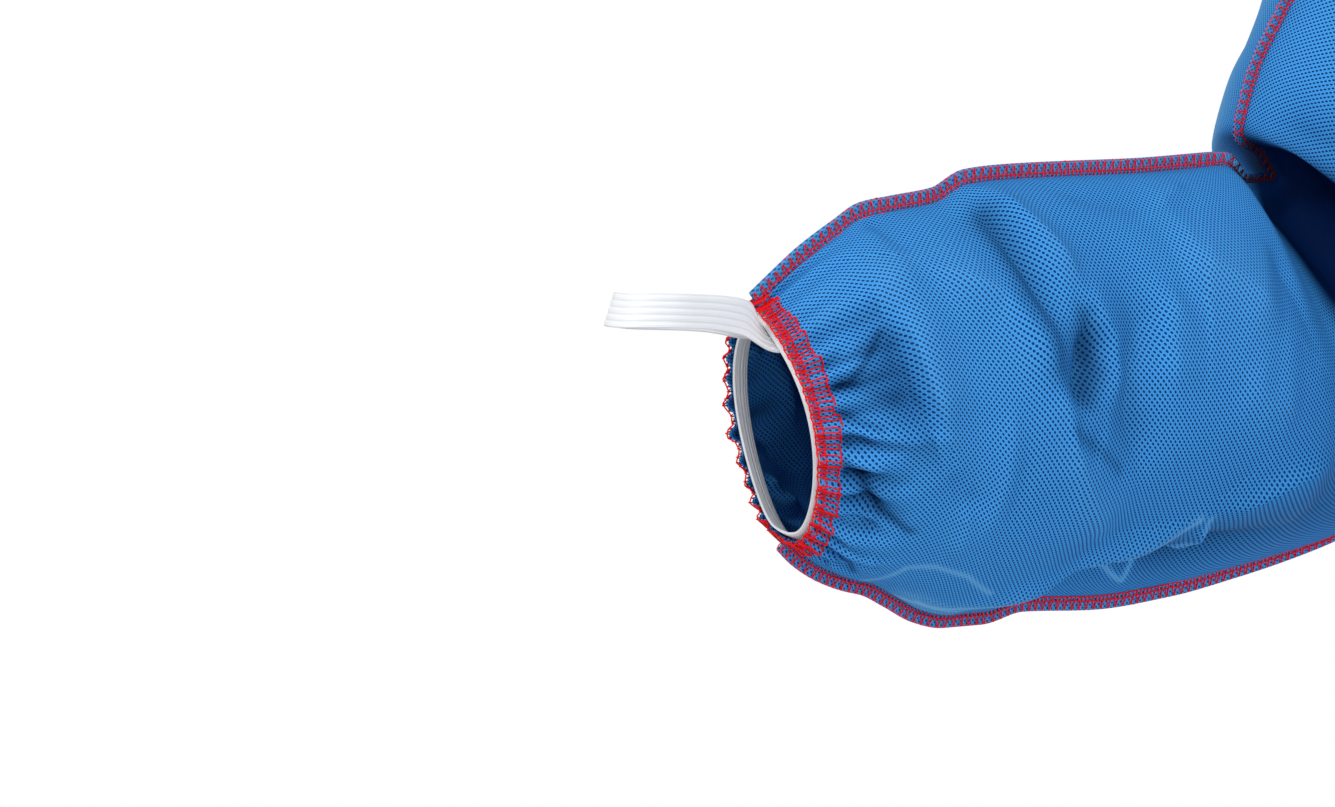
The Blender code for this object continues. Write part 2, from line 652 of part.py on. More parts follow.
def body_rows(half, folds):
    """The rows of a right body panel, and the lips over its first row."""
    neck, neck_stand = neckline(half)
    into = seam_side(neck, neck_stand, (0.0, -0.3 * half, -1.0))
    neck = neck + into * GAP / 2
    hole, hole_stand = armhole(half, ARMHOLE_CELLS)
    hole = hole + seam_side(hole, hole_stand, (1.0, 0.0, 0.0)) * GAP / 2
    hole[[0, -1], 1] -= half * GAP / 2
    neck[-1, 1] -= half * GAP / 2
    steps = np.linspace(0.0, 1.0, BODY_CELLS - NECK_CELLS + 1)[1:-1, None]
    shoulder = neck[-1] * (1 - steps) + hole[0] * steps
    slope = unit([-0.37, 0.0, 0.93])
    shoulder_stand = unit(np.where(steps < 0.5, neck_stand[-1], hole_stand[0]) + 2 * slope)
    top = np.vstack([neck, shoulder, hole[0]])
    stand = np.vstack([neck_stand, shoulder_stand, hole_stand[0]])

    chest = torso_row(TORSO[0][0], half)
    edge = ZIP_EDGE if half > 0 else GAP / 2
    chest[0, 0] = -edge
    chest[-1] = hole[-1]
    levels = np.linspace(0.0, 1.0, ARMHOLE_CELLS + 1)[:, None]
    middle = top[0] * (1 - levels) + chest[0] * levels
    middle[:, 1] -= half * 0.008 * np.sin(math.pi * levels[:, 0])
    upper = coons(top, chest, middle, hole)
    places = np.linspace(0.0, 1.0, BODY_CELLS + 1)
    inner = ease(places / 0.2) * ease((1 - places) / 0.2)

    rows = []

    def add(points, cells_places, first_lip, last_lip):
        rows.append([(-1.0, first_lip)] + list(zip(cells_places, points)) + [(2.0, last_lip)])

    def middle_lip(point, z):
        if half > 0 and z > ZIP_END_Z:
            return point + np.array([ZIP_FLAT, 0.0, 0.0])
        return point + np.array([0.0, -half * LIP, 0.0])

    for line, way in zip(upper, hole_stand):
        add(line, places, middle_lip(line[0], line[0, 2]), line[-1] + way * LIP)
    if half < 0:
        rows[0][0] = (-1.0, top[0] + stand[0] * LIP)
    heights = [row[0] for row in TORSO]
    torso_levels = divide([-z for z in heights[:-1]], 0.045)[1:]
    for z in (-value for value in torso_levels):
        line = torso_row(z, half)
        line = push_out(line, fold_height(folds, -z, places * BODY_GIRTH) * inner, half)
        line[0, 0] = -(edge if z > ZIP_END_Z else GAP / 2)
        add(line, places, middle_lip(line[0], z), line[-1] + np.array([-LIP, 0.0, 0.0]))

    crotch_rows = 5
    for k in range(1, crotch_rows + 1):
        turn = math.pi / 2 * k / crotch_rows
        share = 1 - math.cos(turn)
        z = HIP_Z - CROTCH_RISE * math.sin(turn)
        outer = share + (ease(math.sin(turn)) - share) * ease(places / 0.5)[:, None]
        line = torso_row(z, half) * (1 - outer) + leg_row(z, half, BODY_CELLS) * outer
        line = push_out(line, fold_height(folds, -z, places * BODY_GIRTH) * inner, half)
        line[0] = (-GAP / 2, -half * (GAP / 2 + TORSO[-2][2 if half > 0 else 3] * math.cos(turn)), z)
        height = LIP - 0.002 * share
        way = np.array([0.0, -half * math.cos(turn), -math.sin(turn)])
        add(line, places, line[0] + way * height, line[-1] + np.array([-LIP, 0.0, 0.0]))

    leg_heights = [row[0] for row in LEG]
    leg_levels = divide([-z for z in leg_heights[:-3]], 0.085)[1:]
    for z in (-value for value in leg_levels):
        line = leg_row(z, half, BODY_CELLS)
        line = push_out(line, fold_height(folds, -z, places * BODY_GIRTH) * inner, half)
        line[[0, -1], 1] = -half * GAP / 2
        run = leg_row(z + 0.004, half, 1)[0] - leg_row(z - 0.004, half, 1)[0]
        way = unit([run[2], 0.0, -run[0]])
        low = ease((z - leg_heights[0]) / (leg_heights[3] - leg_heights[0]))
        add(line, places, line[0] + way * (LIP - 0.002 * (1 - low)), line[-1] + np.array([-LIP, 0.0, 0.0]))
    ankle_places = np.linspace(0.0, 1.0, ANKLE_CELLS + 1)
    for z in leg_heights[-3:]:
        line = leg_row(z, half, ANKLE_CELLS, gather=0.0013)
        sideways = np.array([LIP, 0.0, 0.0])
        add(line, ankle_places, line[0] + sideways, line[-1] - sideways)
    head = list(zip(places, top + stand * LIP))
    return rows, head


def body_panel(name, half, folds, mirrored=False):
    rows, head = body_rows(half, folds)
    return sheet(name, rows, (0.0, -half, 0.0), head=head, mirrored=mirrored)


def ankle_elastic(name, mirrored=False):
    rings = []
    for z in (LEG[-1][0], LEG[-1][0] + ELASTIC_WIDTH):
        front = leg_row(z, 1.0, 12, inset=ELASTIC_INSET)
        back = leg_row(z, -1.0, 12, inset=ELASTIC_INSET)
        rings.append(list(front) + list(back[-2:0:-1]))
    return band(name, rings, ELASTIC_WALL, mirrored)


# The hood: two halves with a seam over the head; places run from the face to the back of the head
HOOD_ROWS = 10


def hood_line(turn):
    """A point of the seam over the head, turn radians back from straight up, and the way it faces."""
    deep, middle = HOOD_MIDDLE
    point = np.array([-GAP / 2, deep + HOOD_REACH * math.sin(turn), middle + HOOD_RISE * math.cos(turn)])
    return point, unit([0.0, math.sin(turn), math.cos(turn)])


def hood_surface():
    front, front_stand = neckline(1.0)
    back, back_stand = neckline(-1.0)
    neck = np.vstack([front, back[-2::-1]])
    stand = np.vstack([front_stand, back_stand[-2::-1]])
    neck = neck + seam_side(neck, stand, (0.0, 0.0, 1.0)) * GAP / 2
    neck[-1, 0] = -GAP / 2
    count = len(neck)
    over = [hood_line(math.radians(angle)) for angle in np.linspace(-50, 50, count)]
    down = [hood_line(math.radians(angle)) for angle in np.linspace(50, 130, HOOD_ROWS + 1)]
    top = np.array([pair[0] for pair in over])
    behind = np.array([pair[0] for pair in down])
    share = np.linspace(0.0, 1.0, HOOD_ROWS + 1)
    behind += (share**2)[:, None] * (neck[-1] - behind[-1])
    face = top[0] * (1 - share[:, None]) + neck[0] * share[:, None]
    face[:, 0] -= FACE_HALF * np.sin(math.pi * share) ** (0.42 + 0.88 * share)
    face[:, 1] -= 0.008 * np.sin(math.pi * share)
    grid = coons(top, neck, face, behind)
    u = np.linspace(0.0, 1.0, count)[None]
    v = share[:, None]
    grid[:, :, 0] -= HOOD_BULGE * (4 * u * (1 - u)) ** 0.55 * (np.sin(math.pi * v) * (1 - v)) ** 0.45 * (1 - v**4)
    over_stand = np.array([pair[1] for pair in over])
    down_stand = np.array([pair[1] for pair in down])
    down_stand[-1] = stand[-1]
    return grid, over_stand, down_stand, stand


def hood_panel(name, mirrored=False):
    grid, over_stand, down_stand, neck_stand = hood_surface()
    places = np.linspace(0.0, 1.0, grid.shape[1])
    rows = []
    for line, way in zip(grid, down_stand):
        rows.append(list(zip(places, line)) + [(2.0, line[-1] + way * LIP)])
    head = list(zip(places, grid[0] + over_stand * LIP))
    foot = list(zip(places, grid[-1] + neck_stand * LIP))
    return sheet(name, rows, (-1.0, 0.0, 0.0), head=head, foot=foot, mirrored=mirrored)


def hood_elastic(name):
    """The elastic inside the hood's edge, from one side of the zip over the head to the other."""
    grid = hood_surface()[0][:-1]
    edge = grid[:, 0]
    back = unit(grid[:, 1] - edge)
    inward = unit(np.cross(np.gradient(edge, axis=0), back))
    inward *= np.sign(np.einsum("ij,ij->i", inward, np.array(HOOD_INSIDE) - edge))[:, None]
    inward[0] = unit(inward[0] * (0.0, 1.0, 1.0))
    lines = []
    for step in (0.001, 0.001 + ELASTIC_WIDTH):
        right = edge + back * step + inward * HOOD_ELASTIC_GAP
        top = right[0] * (0.0, 1.0, 1.0)
        left = right[:0:-1] * (-1.0, 1.0, 1.0)
        lines.append(list(left) + [top] + list(right[1:]))
    return band(name, lines, ELASTIC_WALL, closed=False)


def zip_lines(rows):
    """Along the zip, from the neck down: the right panel's edge, the way across it and the way inside."""
    line = [row for row in rows if row[1][1][2] > ZIP_END_Z - 1e-6]
    edge = np.array([row[1][1] for row in line])
    across = unit(np.array([row[2][1] for row in line]) - edge)
    down = np.gradient(edge, axis=0)
    inside = unit(np.cross(across, down))
    return edge, across, inside * np.sign(inside[:, 1:2])


def zip_parts(rows):
    edge, across, inside = zip_lines(rows)
    tape = []
    for base, way, into in zip(edge, across, inside):
        base = base + into * TAPE_GAP
        far = (TAPE_OUTER - ZIP_EDGE) / -way[0]
        tape.append([(0.0, base + np.array([ZIP_EDGE - TAPE_INNER, 0.0, 0.0])), (0.5, base), (1.0, base + way * far)])
    for name, mirrored in (("zip_tape_right", False), ("zip_tape_left", True)):
        strip(name, tape, (0.0, 1.0, 0.0), TAPE_WALL, mirrored)

    high, low = edge[0], edge[1]
    middle = (high + low) / 2
    middle[0] = 0.0
    rise = unit(high - low)
    start = middle - rise * 0.0018
    chain_rows = []
    for point in [start] + list(edge[1:]):
        chain_rows.append([(0.0, point * (0, 1, 1) - CHAIN_SIDE), (1.0, point * (0, 1, 1) + CHAIN_SIDE)])
    strip("zip_chain", chain_rows, (0.0, -1.0, 0.0), CHAIN_WALL)

    tilt = math.atan2(-rise[1], rise[2])
    out = np.array([0.0, -math.cos(tilt), -math.sin(tilt)])
    place_box_part("zip_slider", middle, tilt, SLIDER_BOXES)
    place_box_part("zip_pull", middle + out * PULL_AXIS_OUT, tilt, PULL_BOXES)


# Boxes of the slider about its middle, and of the pull tab about its hinge: centre and size across,
# outwards and up
SLIDER_BOXES = (
    ((0.0, 0.0029, 0.0), (0.009, 0.0012, 0.013)),
    ((0.0, -0.0026, 0.0), (0.009, 0.0012, 0.013)),
    ((0.0, 0.00015, 0.0025), (0.0018, 0.0055, 0.008)),
    ((0.0, 0.0047, 0.0022), (0.0022, 0.0028, 0.001)),
    ((0.0, 0.0047, -0.0022), (0.0022, 0.0028, 0.001)),
    ((0.0, 0.0065, 0.0), (0.0022, 0.0010, 0.0054)),
)
PULL_BOXES = (
    ((0.0, 0.0, 0.0), (0.0052, 0.0010, 0.0012)),
    ((-0.00205, 0.0, -0.0035), (0.0011, 0.0010, 0.0070)),
    ((0.00205, 0.0, -0.0035), (0.0011, 0.0010, 0.0070)),
    ((0.0, 0.0, -0.0145), (0.0060, 0.0010, 0.0170)),
)


def place_box_part(name, middle, tilt, boxes):
    """Joins boxes into one body, tilted to lie along the zip at a point of it."""
    made = []
    for centre, size in boxes:
        bm = bmesh.new()
        bmesh.ops.create_cube(bm, size=1.0)
        for vertex in bm.verts:
            vertex.co = (
                vertex.co.x * size[0] + centre[0],
                vertex.co.y * size[1] - centre[1],
                vertex.co.z * size[2] + centre[2],
            )
        mesh = bpy.data.meshes.new(name)
        bm.to_mesh(mesh)
        bm.free()
        made.append(add_object(name, mesh, "slider_metal", METAL))
    body = made[0]
    for tool in made[1:]:
        join = body.modifiers.new("join", "BOOLEAN")
        join.operation = "UNION"
        join.object = tool
        tool.hide_render = True
        tool.display_type = "WIRE"
    depsgraph = bpy.context.evaluated_depsgraph_get()
    joined = bpy.data.meshes.new_from_object(body.evaluated_get(depsgraph))
    for item in made:
        bpy.data.objects.remove(item, do_unlink=True)
    result = bpy.data.objects.new(name, joined)
    bpy.data.collections[COLLECTION].objects.link(result)
    result.location = middle
    result.rotation_euler = (tilt, 0.0, 0.0)
    return result


def main():
    clear_scene()
    if COLLECTION not in bpy.data.collections:
        bpy.context.scene.collection.children.link(bpy.data.collections.new(COLLECTION))
    right = Arm(RIGHT_WRIST, RIGHT_ELBOW, RIGHT_UPPER, RIGHT_SECTIONS)
    left = Arm(LEFT_WRIST, LEFT_ELBOW, LEFT_UPPER, LEFT_SECTIONS)
    right_cuff = ((0.0, 32, 0.0013), (0.006, 32, 0.0014), (0.012, 32, 0.0014), (0.018, 32, 0.0008))
    left_cuff = ((0.0, 16, 0.0013), (0.007, 16, 0.0013), (0.014, 16, 0.0011))
    sleeve_panel("sleeve_right_front", right, 1.0, 18, right_cuff, 0.014, RIGHT_FRONT_FOLDS)
    sleeve_panel("sleeve_right_back", right, -1.0, 12, right_cuff, 0.014, RIGHT_BACK_FOLDS)
    sleeve_panel("sleeve_left_front", left, 1.0, 9, left_cuff, 0.035, LEFT_FOLDS, mirrored=True)
    sleeve_panel("sleeve_left_back", left, -1.0, 9, left_cuff, 0.035, LEFT_FOLDS, mirrored=True)
    cuff_elastic("cuff_right", right, 16, ELASTIC_INSET)
    cuff_elastic("cuff_left", left, 16, ELASTIC_INSET, mirrored=True)
    thumb_loop("thumb_loop_right", right, LOOP_INSET)
    thumb_loop("thumb_loop_left", left, LOOP_INSET, mirrored=True)
    for name, mirrored in (("right", False), ("left", True)):
        body_panel("front_" + name, 1.0, BODY_FRONT_FOLDS, mirrored)
        body_panel("back_" + name, -1.0, BODY_BACK_FOLDS, mirrored)
        hood_panel("hood_" + name, mirrored)
        ankle_elastic("ankle_" + name, mirrored)
    hood_elastic("hood_elastic")
    zip_parts(body_rows(1.0, BODY_FRONT_FOLDS)[0])


main()
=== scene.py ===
import math

import bpy
import numpy as np
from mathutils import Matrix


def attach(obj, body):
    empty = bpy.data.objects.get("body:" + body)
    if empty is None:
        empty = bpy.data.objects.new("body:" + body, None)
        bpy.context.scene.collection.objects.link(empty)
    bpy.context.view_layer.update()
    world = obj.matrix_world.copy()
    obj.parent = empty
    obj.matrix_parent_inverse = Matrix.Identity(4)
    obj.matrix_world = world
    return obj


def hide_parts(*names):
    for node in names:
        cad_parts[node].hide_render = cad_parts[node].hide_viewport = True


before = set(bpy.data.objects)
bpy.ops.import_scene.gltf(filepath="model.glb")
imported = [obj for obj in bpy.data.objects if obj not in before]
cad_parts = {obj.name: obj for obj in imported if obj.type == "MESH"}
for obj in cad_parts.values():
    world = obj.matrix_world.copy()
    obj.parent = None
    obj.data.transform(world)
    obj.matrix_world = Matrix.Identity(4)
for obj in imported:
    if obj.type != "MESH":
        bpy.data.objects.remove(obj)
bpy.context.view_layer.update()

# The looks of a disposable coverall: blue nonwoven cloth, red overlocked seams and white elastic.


# Studio: a camera level with the raised forearm, as if 1.7 m in front of it, and a white sweep
# lit by large soft lights, the strongest from the upper left.

CAMERA_PLACE = (-0.587, -1.8495, -0.346)
CAMERA_LENS = 137.5
WHITE = (1.0, 1.0, 1.0, 1.0)
GLOW = 0.70
# place, target, size and power of each light
KEY_LIGHT = ((-1.55, -1.75, 1.05), (-0.42, -0.1, -0.35), 0.45, 26.0)
FILL_LIGHT = ((0.5, -2.5, -0.1), (-0.35, 0.0, -0.4), 1.4, 22.0)
FLOOR_Z = -1.394
FLOOR_HALF = 9.0
FLOOR_GREY = (0.86, 0.86, 0.86, 1.0)
FLOOR_ROUGHNESS = 0.9

scene = bpy.context.scene
lens = bpy.data.cameras.new("camera")
lens.lens = CAMERA_LENS
lens.sensor_width = 36.0
lens.clip_start = 0.05
lens.clip_end = 60.0
camera = bpy.data.objects.new("camera", lens)
camera.location = CAMERA_PLACE
camera.rotation_euler = (math.radians(90), 0.0, 0.0)
scene.collection.objects.link(camera)
scene.camera = camera
scene.view_settings.view_transform = "Standard"


class Wire:
    """A shader socket that numbers and other sockets can be added to, multiplied by and so on."""

    def __init__(self, tree, socket):
        self.tree = tree
        self.socket = socket

    def maths(self, operation, *others):
        return make(self.tree, "ShaderNodeMath", {"operation": operation}, (self, *others))

    def __add__(self, other):
        return self.maths("ADD", other)

    def __sub__(self, other):
        return self.maths("SUBTRACT", other)

    def __rsub__(self, other):
        return make(self.tree, "ShaderNodeMath", {"operation": "SUBTRACT"}, (other, self))

    def __mul__(self, other):
        return self.maths("MULTIPLY", other)

    def __truediv__(self, other):
        return self.maths("DIVIDE", other)

    def __pow__(self, other):
        return self.maths("POWER", other)

    __radd__ = __add__
    __rmul__ = __mul__


def plug(node, values):
    """Sets or links sockets of a node, by place or by name."""
    for place, value in values.items():
        if isinstance(value, Wire):
            value.tree.links.new(value.socket, node.inputs[place])
        else:
            node.inputs[place].default_value = value


def make(tree, kind, settings, values=(), output=0):
    """One node: its settings first, then the numbers or links of its sockets."""
    node = tree.nodes.new(kind)
    for name, value in settings.items():
        setattr(node, name, value)
    plug(node, values if isinstance(values, dict) else dict(enumerate(values)))
    return Wire(tree, node.outputs[output])


def start_material(name):
    made = bpy.data.materials.new(name)
    made.use_nodes = True
    return made, made.node_tree, made.node_tree.nodes["Principled BSDF"]


world = bpy.data.worlds.new("studio")
scene.world = world
world.use_nodes = True
sky = world.node_tree
plug(sky.nodes["Background"], {"Color": WHITE, "Strength": GLOW})
glow = Wire(sky, sky.nodes["Background"].outputs[0])
backdrop = make(sky, "ShaderNodeBackground", {}, {"Color": WHITE})
seen = make(sky, "ShaderNodeLightPath", {}, output="Is Camera Ray")
plug(sky.nodes["World Output"], {"Surface": make(sky, "ShaderNodeMixShader", {}, (seen, glow, backdrop))})


def soft_light(name, place, target, size, power):
    """A square area light that faces a point."""
    data = bpy.data.lights.new(name, "AREA")
    data.shape = "SQUARE"
    data.size = size
    data.energy = power
    light = bpy.data.objects.new(name, data)
    light.location = place
    way = np.array(target) - np.array(place)
    tilt = math.acos(-way[2] / np.linalg.norm(way))
    light.rotation_euler = (tilt, 0.0, math.atan2(way[1], way[0]) - math.pi / 2)
    scene.collection.objects.link(light)


soft_light("key_light", *KEY_LIGHT)
soft_light("fill_light", *FILL_LIGHT)

corners = [(x * FLOOR_HALF, y * FLOOR_HALF, FLOOR_Z) for x, y in ((-1, -1), (1, -1), (1, 1), (-1, 1))]
floor_mesh = bpy.data.meshes.new("floor")
floor_mesh.from_pydata(corners, [], [(0, 1, 2, 3)])
floor = bpy.data.objects.new("floor", floor_mesh)
scene.collection.objects.link(floor)
paint, _, paint_shader = start_material("white_floor")
plug(paint_shader, {"Base Color": FLOOR_GREY, "Roughness": FLOOR_ROUGHNESS})
floor_mesh.materials.append(paint)


# Cloth: two bonded layers of fine fibre round a third, embossed with staggered oval points. The points
# are pressed and darker, and light comes a little way through the cloth. Painted shade in its folds and
# painted light on ridges, lips and thin edges come into its colour from each piece's depth attribute.

CLOTH_WALL = 0.0004
DOT_ACROSS = 0.0020
DOT_ALONG = 0.0019
DOT_LONG = 0.00052
DOT_SHORT = 0.00038
DIAGONAL = 0.707
CLOTH_BLUE = (0.026, 0.246, 0.660)
WORN_BLUE = (0.07, 0.31, 0.70)
# a painted highlight on the rims of the dots
DOT_RIM_HIGHLIGHT_BLUE = (0.13, 0.43, 0.84)
DOT_BLUE = (0.001, 0.022, 0.125)
# colours of the painted shade and the painted light that the depth attribute mixes in
PAINTED_SHADE_BLUE = (0.0005, 0.009, 0.050)
PAINTED_LIGHT_BLUE = (0.150, 0.420, 0.720)
THROUGH_BLUE = (0.03, 0.25, 0.66, 1.0)
THROUGH_SHARE = 0.12


def step(wire, low, high):
    """0 below low, 1 above high, smooth between."""
    return make(wire.tree, "ShaderNodeMapRange", {"interpolation_type": "SMOOTHSTEP"}, {
        "Value": wire, "From Min": low, "From Max": high,
    })


def mix_colour(share, first, second):
    first, second = [c if isinstance(c, Wire) else (*c, 1.0) for c in (first, second)]
    return make(share.tree, "ShaderNodeMix", {"data_type": "RGBA"}, {0: share, 6: first, 7: second}, 2)


def lighter(colour, by):
    return tuple(min(1.0, by * part) for part in colour)


def uv_places(tree):
    """A piece's UV map in metres: the vector, and how far across and along."""
    uv = make(tree, "ShaderNodeTexCoord", {}, output="UV")
    across, along = [make(tree, "ShaderNodeSeparateXYZ", {}, (uv,), part) for part in ("X", "Y")]
    return uv, across, along


def object_places(tree):
    """Places in a piece's own space, in metres."""
    return make(tree, "ShaderNodeTexCoord", {}, output="Object")


def grain(vector, scale, detail, rough=0.5):
    return make(vector.tree, "ShaderNodeTexNoise", {}, {
        "Vector": vector, "Scale": scale, "Detail": detail, "Roughness": rough,
    })


def raise_relief(shader, height, strength, distance):
    """Bumps on a shader; gives their normal."""
    relief = make(height.tree, "ShaderNodeBump", {}, {
        "Strength": strength, "Distance": distance, "Height": height,
    })
    plug(shader, {"Normal": relief})
    return relief


def cloth_material():
    made, tree, shader = start_material("nonwoven_cloth")
    uv, across, along = uv_places(tree)
    across = across / DOT_ACROSS
    along = along / DOT_ALONG

    def distance(shift):
        """How far a place is from the nearest dot of one set: 1 at the rim."""
        x = ((across + shift).maths("FRACT") - 0.5) * DOT_ACROSS
        y = ((along + shift).maths("FRACT") - 0.5) * DOT_ALONG
        long = (x + y) * (DIAGONAL / DOT_LONG)
        short = (x - y) * (DIAGONAL / DOT_SHORT)
        return (long * long + short * short) ** 0.5

    nearest = distance(0.0).maths("MINIMUM", distance(0.5))
    dot = 1.0 - step(nearest, 0.75, 1.15)
    rim = step(nearest, 1.0, 1.3) * (1.0 - step(nearest, 1.4, 2.0))
    # the depth attribute paints shade into folds where it is above zero, and paints light onto ridges, lips
    # and thin edges where it is below zero
    deep = make(tree, "ShaderNodeAttribute", {"attribute_name": "depth"}, output="Fac")
    cloud = grain(object_places(tree), 38.0, 3.0, 0.55)
    fibre = grain(uv, 5200.0, 2.0, 0.6)
    tone = mix_colour(cloud, lighter(CLOTH_BLUE, 0.93), lighter(CLOTH_BLUE, 1.07))
    worn = mix_colour(fibre * 0.25, tone, WORN_BLUE)
    # a lighter ring painted round each dot as the highlight on its rim
    lit = mix_colour(rim * 0.38, worn, DOT_RIM_HIGHLIGHT_BLUE)
    dotted = mix_colour(dot * 0.92, lit, DOT_BLUE)
    shaded = mix_colour(deep.maths("MAXIMUM", 0.0), dotted, PAINTED_SHADE_BLUE)
    colour = mix_colour((deep * -1.0).maths("MAXIMUM", 0.0), shaded, PAINTED_LIGHT_BLUE)
    plug(shader, {"Base Color": colour, "Roughness": 0.6, "Specular IOR Level": 0.02})
    relief = raise_relief(shader, cloud * 0.25 - dot + fibre * 0.15, 0.35, 0.0003)
    through = make(tree, "ShaderNodeBsdfTranslucent", {}, {"Color": THROUGH_BLUE, "Normal": relief})
    cloth = make(tree, "ShaderNodeMixShader", {}, (THROUGH_SHARE, Wire(tree, shader.outputs[0]), through))
    plug(tree.nodes["Material Output"], {"Surface": cloth})
    return made


cloth_blue = cloth_material()


# Right sleeve: two halves, front and back, sewn along the thumb's side and along the point of the elbow.
# The arm is bent, so cloth piles up in the crook and bags behind the gathered cuff.

RIGHT_WRIST = (-0.539, -0.1495, -0.355)
RIGHT_ELBOW = (-0.339, 0.0, -0.345)
RIGHT_UPPER = (0.42, 0.0, 0.9075)
SHOULDER_TIP = (-0.205, 0.0, -0.05)
UNDERARM = (-0.215, 0.02, -0.225)
ARMHOLE_DEPTH = 0.085
ARMHOLE_HOLLOW = 0.022
ARMHOLE_STEPS = 48
LEAVE_TIP = (-0.5, 0.0, 0.3)
LEAVE_UNDERARM = (-1.5, 0.0, 0.9)
HEAD_ROWS = 16
SLEEVE_GIRTH = 0.19
SLEEVE_OUT = 0.0006
SEAM_GAP = 0.0003
LIP = 0.005
LIP_STEPS = 5
LIP_APART = 0.0001
CLOSER_BY_SEAMS = 0.35
GATHERED = 0.034
# painted shade in the gathers' troughs, and how uneven the gathers are
GATHER_SHADE = 0.8
GATHER_UNEVEN = ((1.9, 5.3), (0.7, 17.0))
# painted shade in the creases' troughs, the crease height at which it is full, and painted light on ridges
# and on the seams' lips
FOLD_SHADE = 0.40
SLEEVE_DEEPEST = 0.012
SLEEVE_RIDGE_LIGHT = 0.16
CROOK_LIP_LIGHT = 0.22
ELBOW_LIP_LIGHT = 0.10
# crook along, crook up, elbow along, elbow up, front, back, crook point, elbow point, lip
RIGHT_SECTIONS = (
    (-0.0306, 0.0442, -0.0040, -0.0370, 0.025, 0.022, 1.9, 0.70, 0.0050),
    (-0.0230, 0.0510, 0.0030, -0.0425, 0.029, 0.026, 1.8, 0.80, 0.0050),
    (-0.0136, 0.0590, 0.0130, -0.0480, 0.035, 0.031, 1.7, 0.90, 0.0050),
    (-0.0007, 0.0676, 0.0240, -0.0520, 0.041, 0.036, 1.5, 1.00, 0.0050),
    (0.0081, 0.0728, 0.0340, -0.0545, 0.044, 0.039, 1.4, 1.05, 0.0050),
    (0.0201, 0.0747, 0.0450, -0.0595, 0.046, 0.041, 1.3, 1.10, 0.0050),
    (0.0382, 0.0774, 0.0590, -0.0660, 0.049, 0.043, 1.3, 1.15, 0.0050),
    (0.0506, 0.0834, 0.0710, -0.0685, 0.050, 0.044, 1.3, 1.20, 0.0050),
    (0.0684, 0.0849, 0.0875, -0.0685, 0.050, 0.045, 1.3, 1.30, 0.0050),
    (0.0928, 0.0856, 0.1060, -0.0650, 0.050, 0.045, 1.3, 1.50, 0.0050),
    (0.1246, 0.0862, 0.1420, -0.0665, 0.050, 0.046, 1.3, 1.80, 0.0050),
    (0.1522, 0.0876, 0.1750, -0.0640, 0.050, 0.047, 1.3, 2.00, 0.0050),
    (0.1671, 0.0885, 0.2080, -0.0590, 0.047, 0.048, 1.3, 2.00, 0.0045),
    (0.1790, 0.0825, 0.2400, -0.0535, 0.038, 0.049, 1.5, 1.90, 0.0030),
    (0.1930, 0.0845, 0.2720, -0.0440, 0.034, 0.050, 1.6, 1.80, 0.0022),
    (0.1840, 0.0945, 0.3000, -0.0270, 0.043, 0.052, 1.4, 1.60, 0.0022),
    (0.1742, 0.1015, 0.3200, -0.0040, 0.052, 0.054, 1.2, 1.50, 0.0040),
    (0.1769, 0.1203, 0.3320, 0.0200, 0.058, 0.056, 1.2, 1.40, 0.0050),
    (0.1881, 0.1477, 0.3460, 0.0550, 0.064, 0.060, 1.2, 1.30, 0.0050),
    (0.1960, 0.1700, 0.3560, 0.0800, 0.068, 0.064, 1.2, 1.20, 0.0050),
)
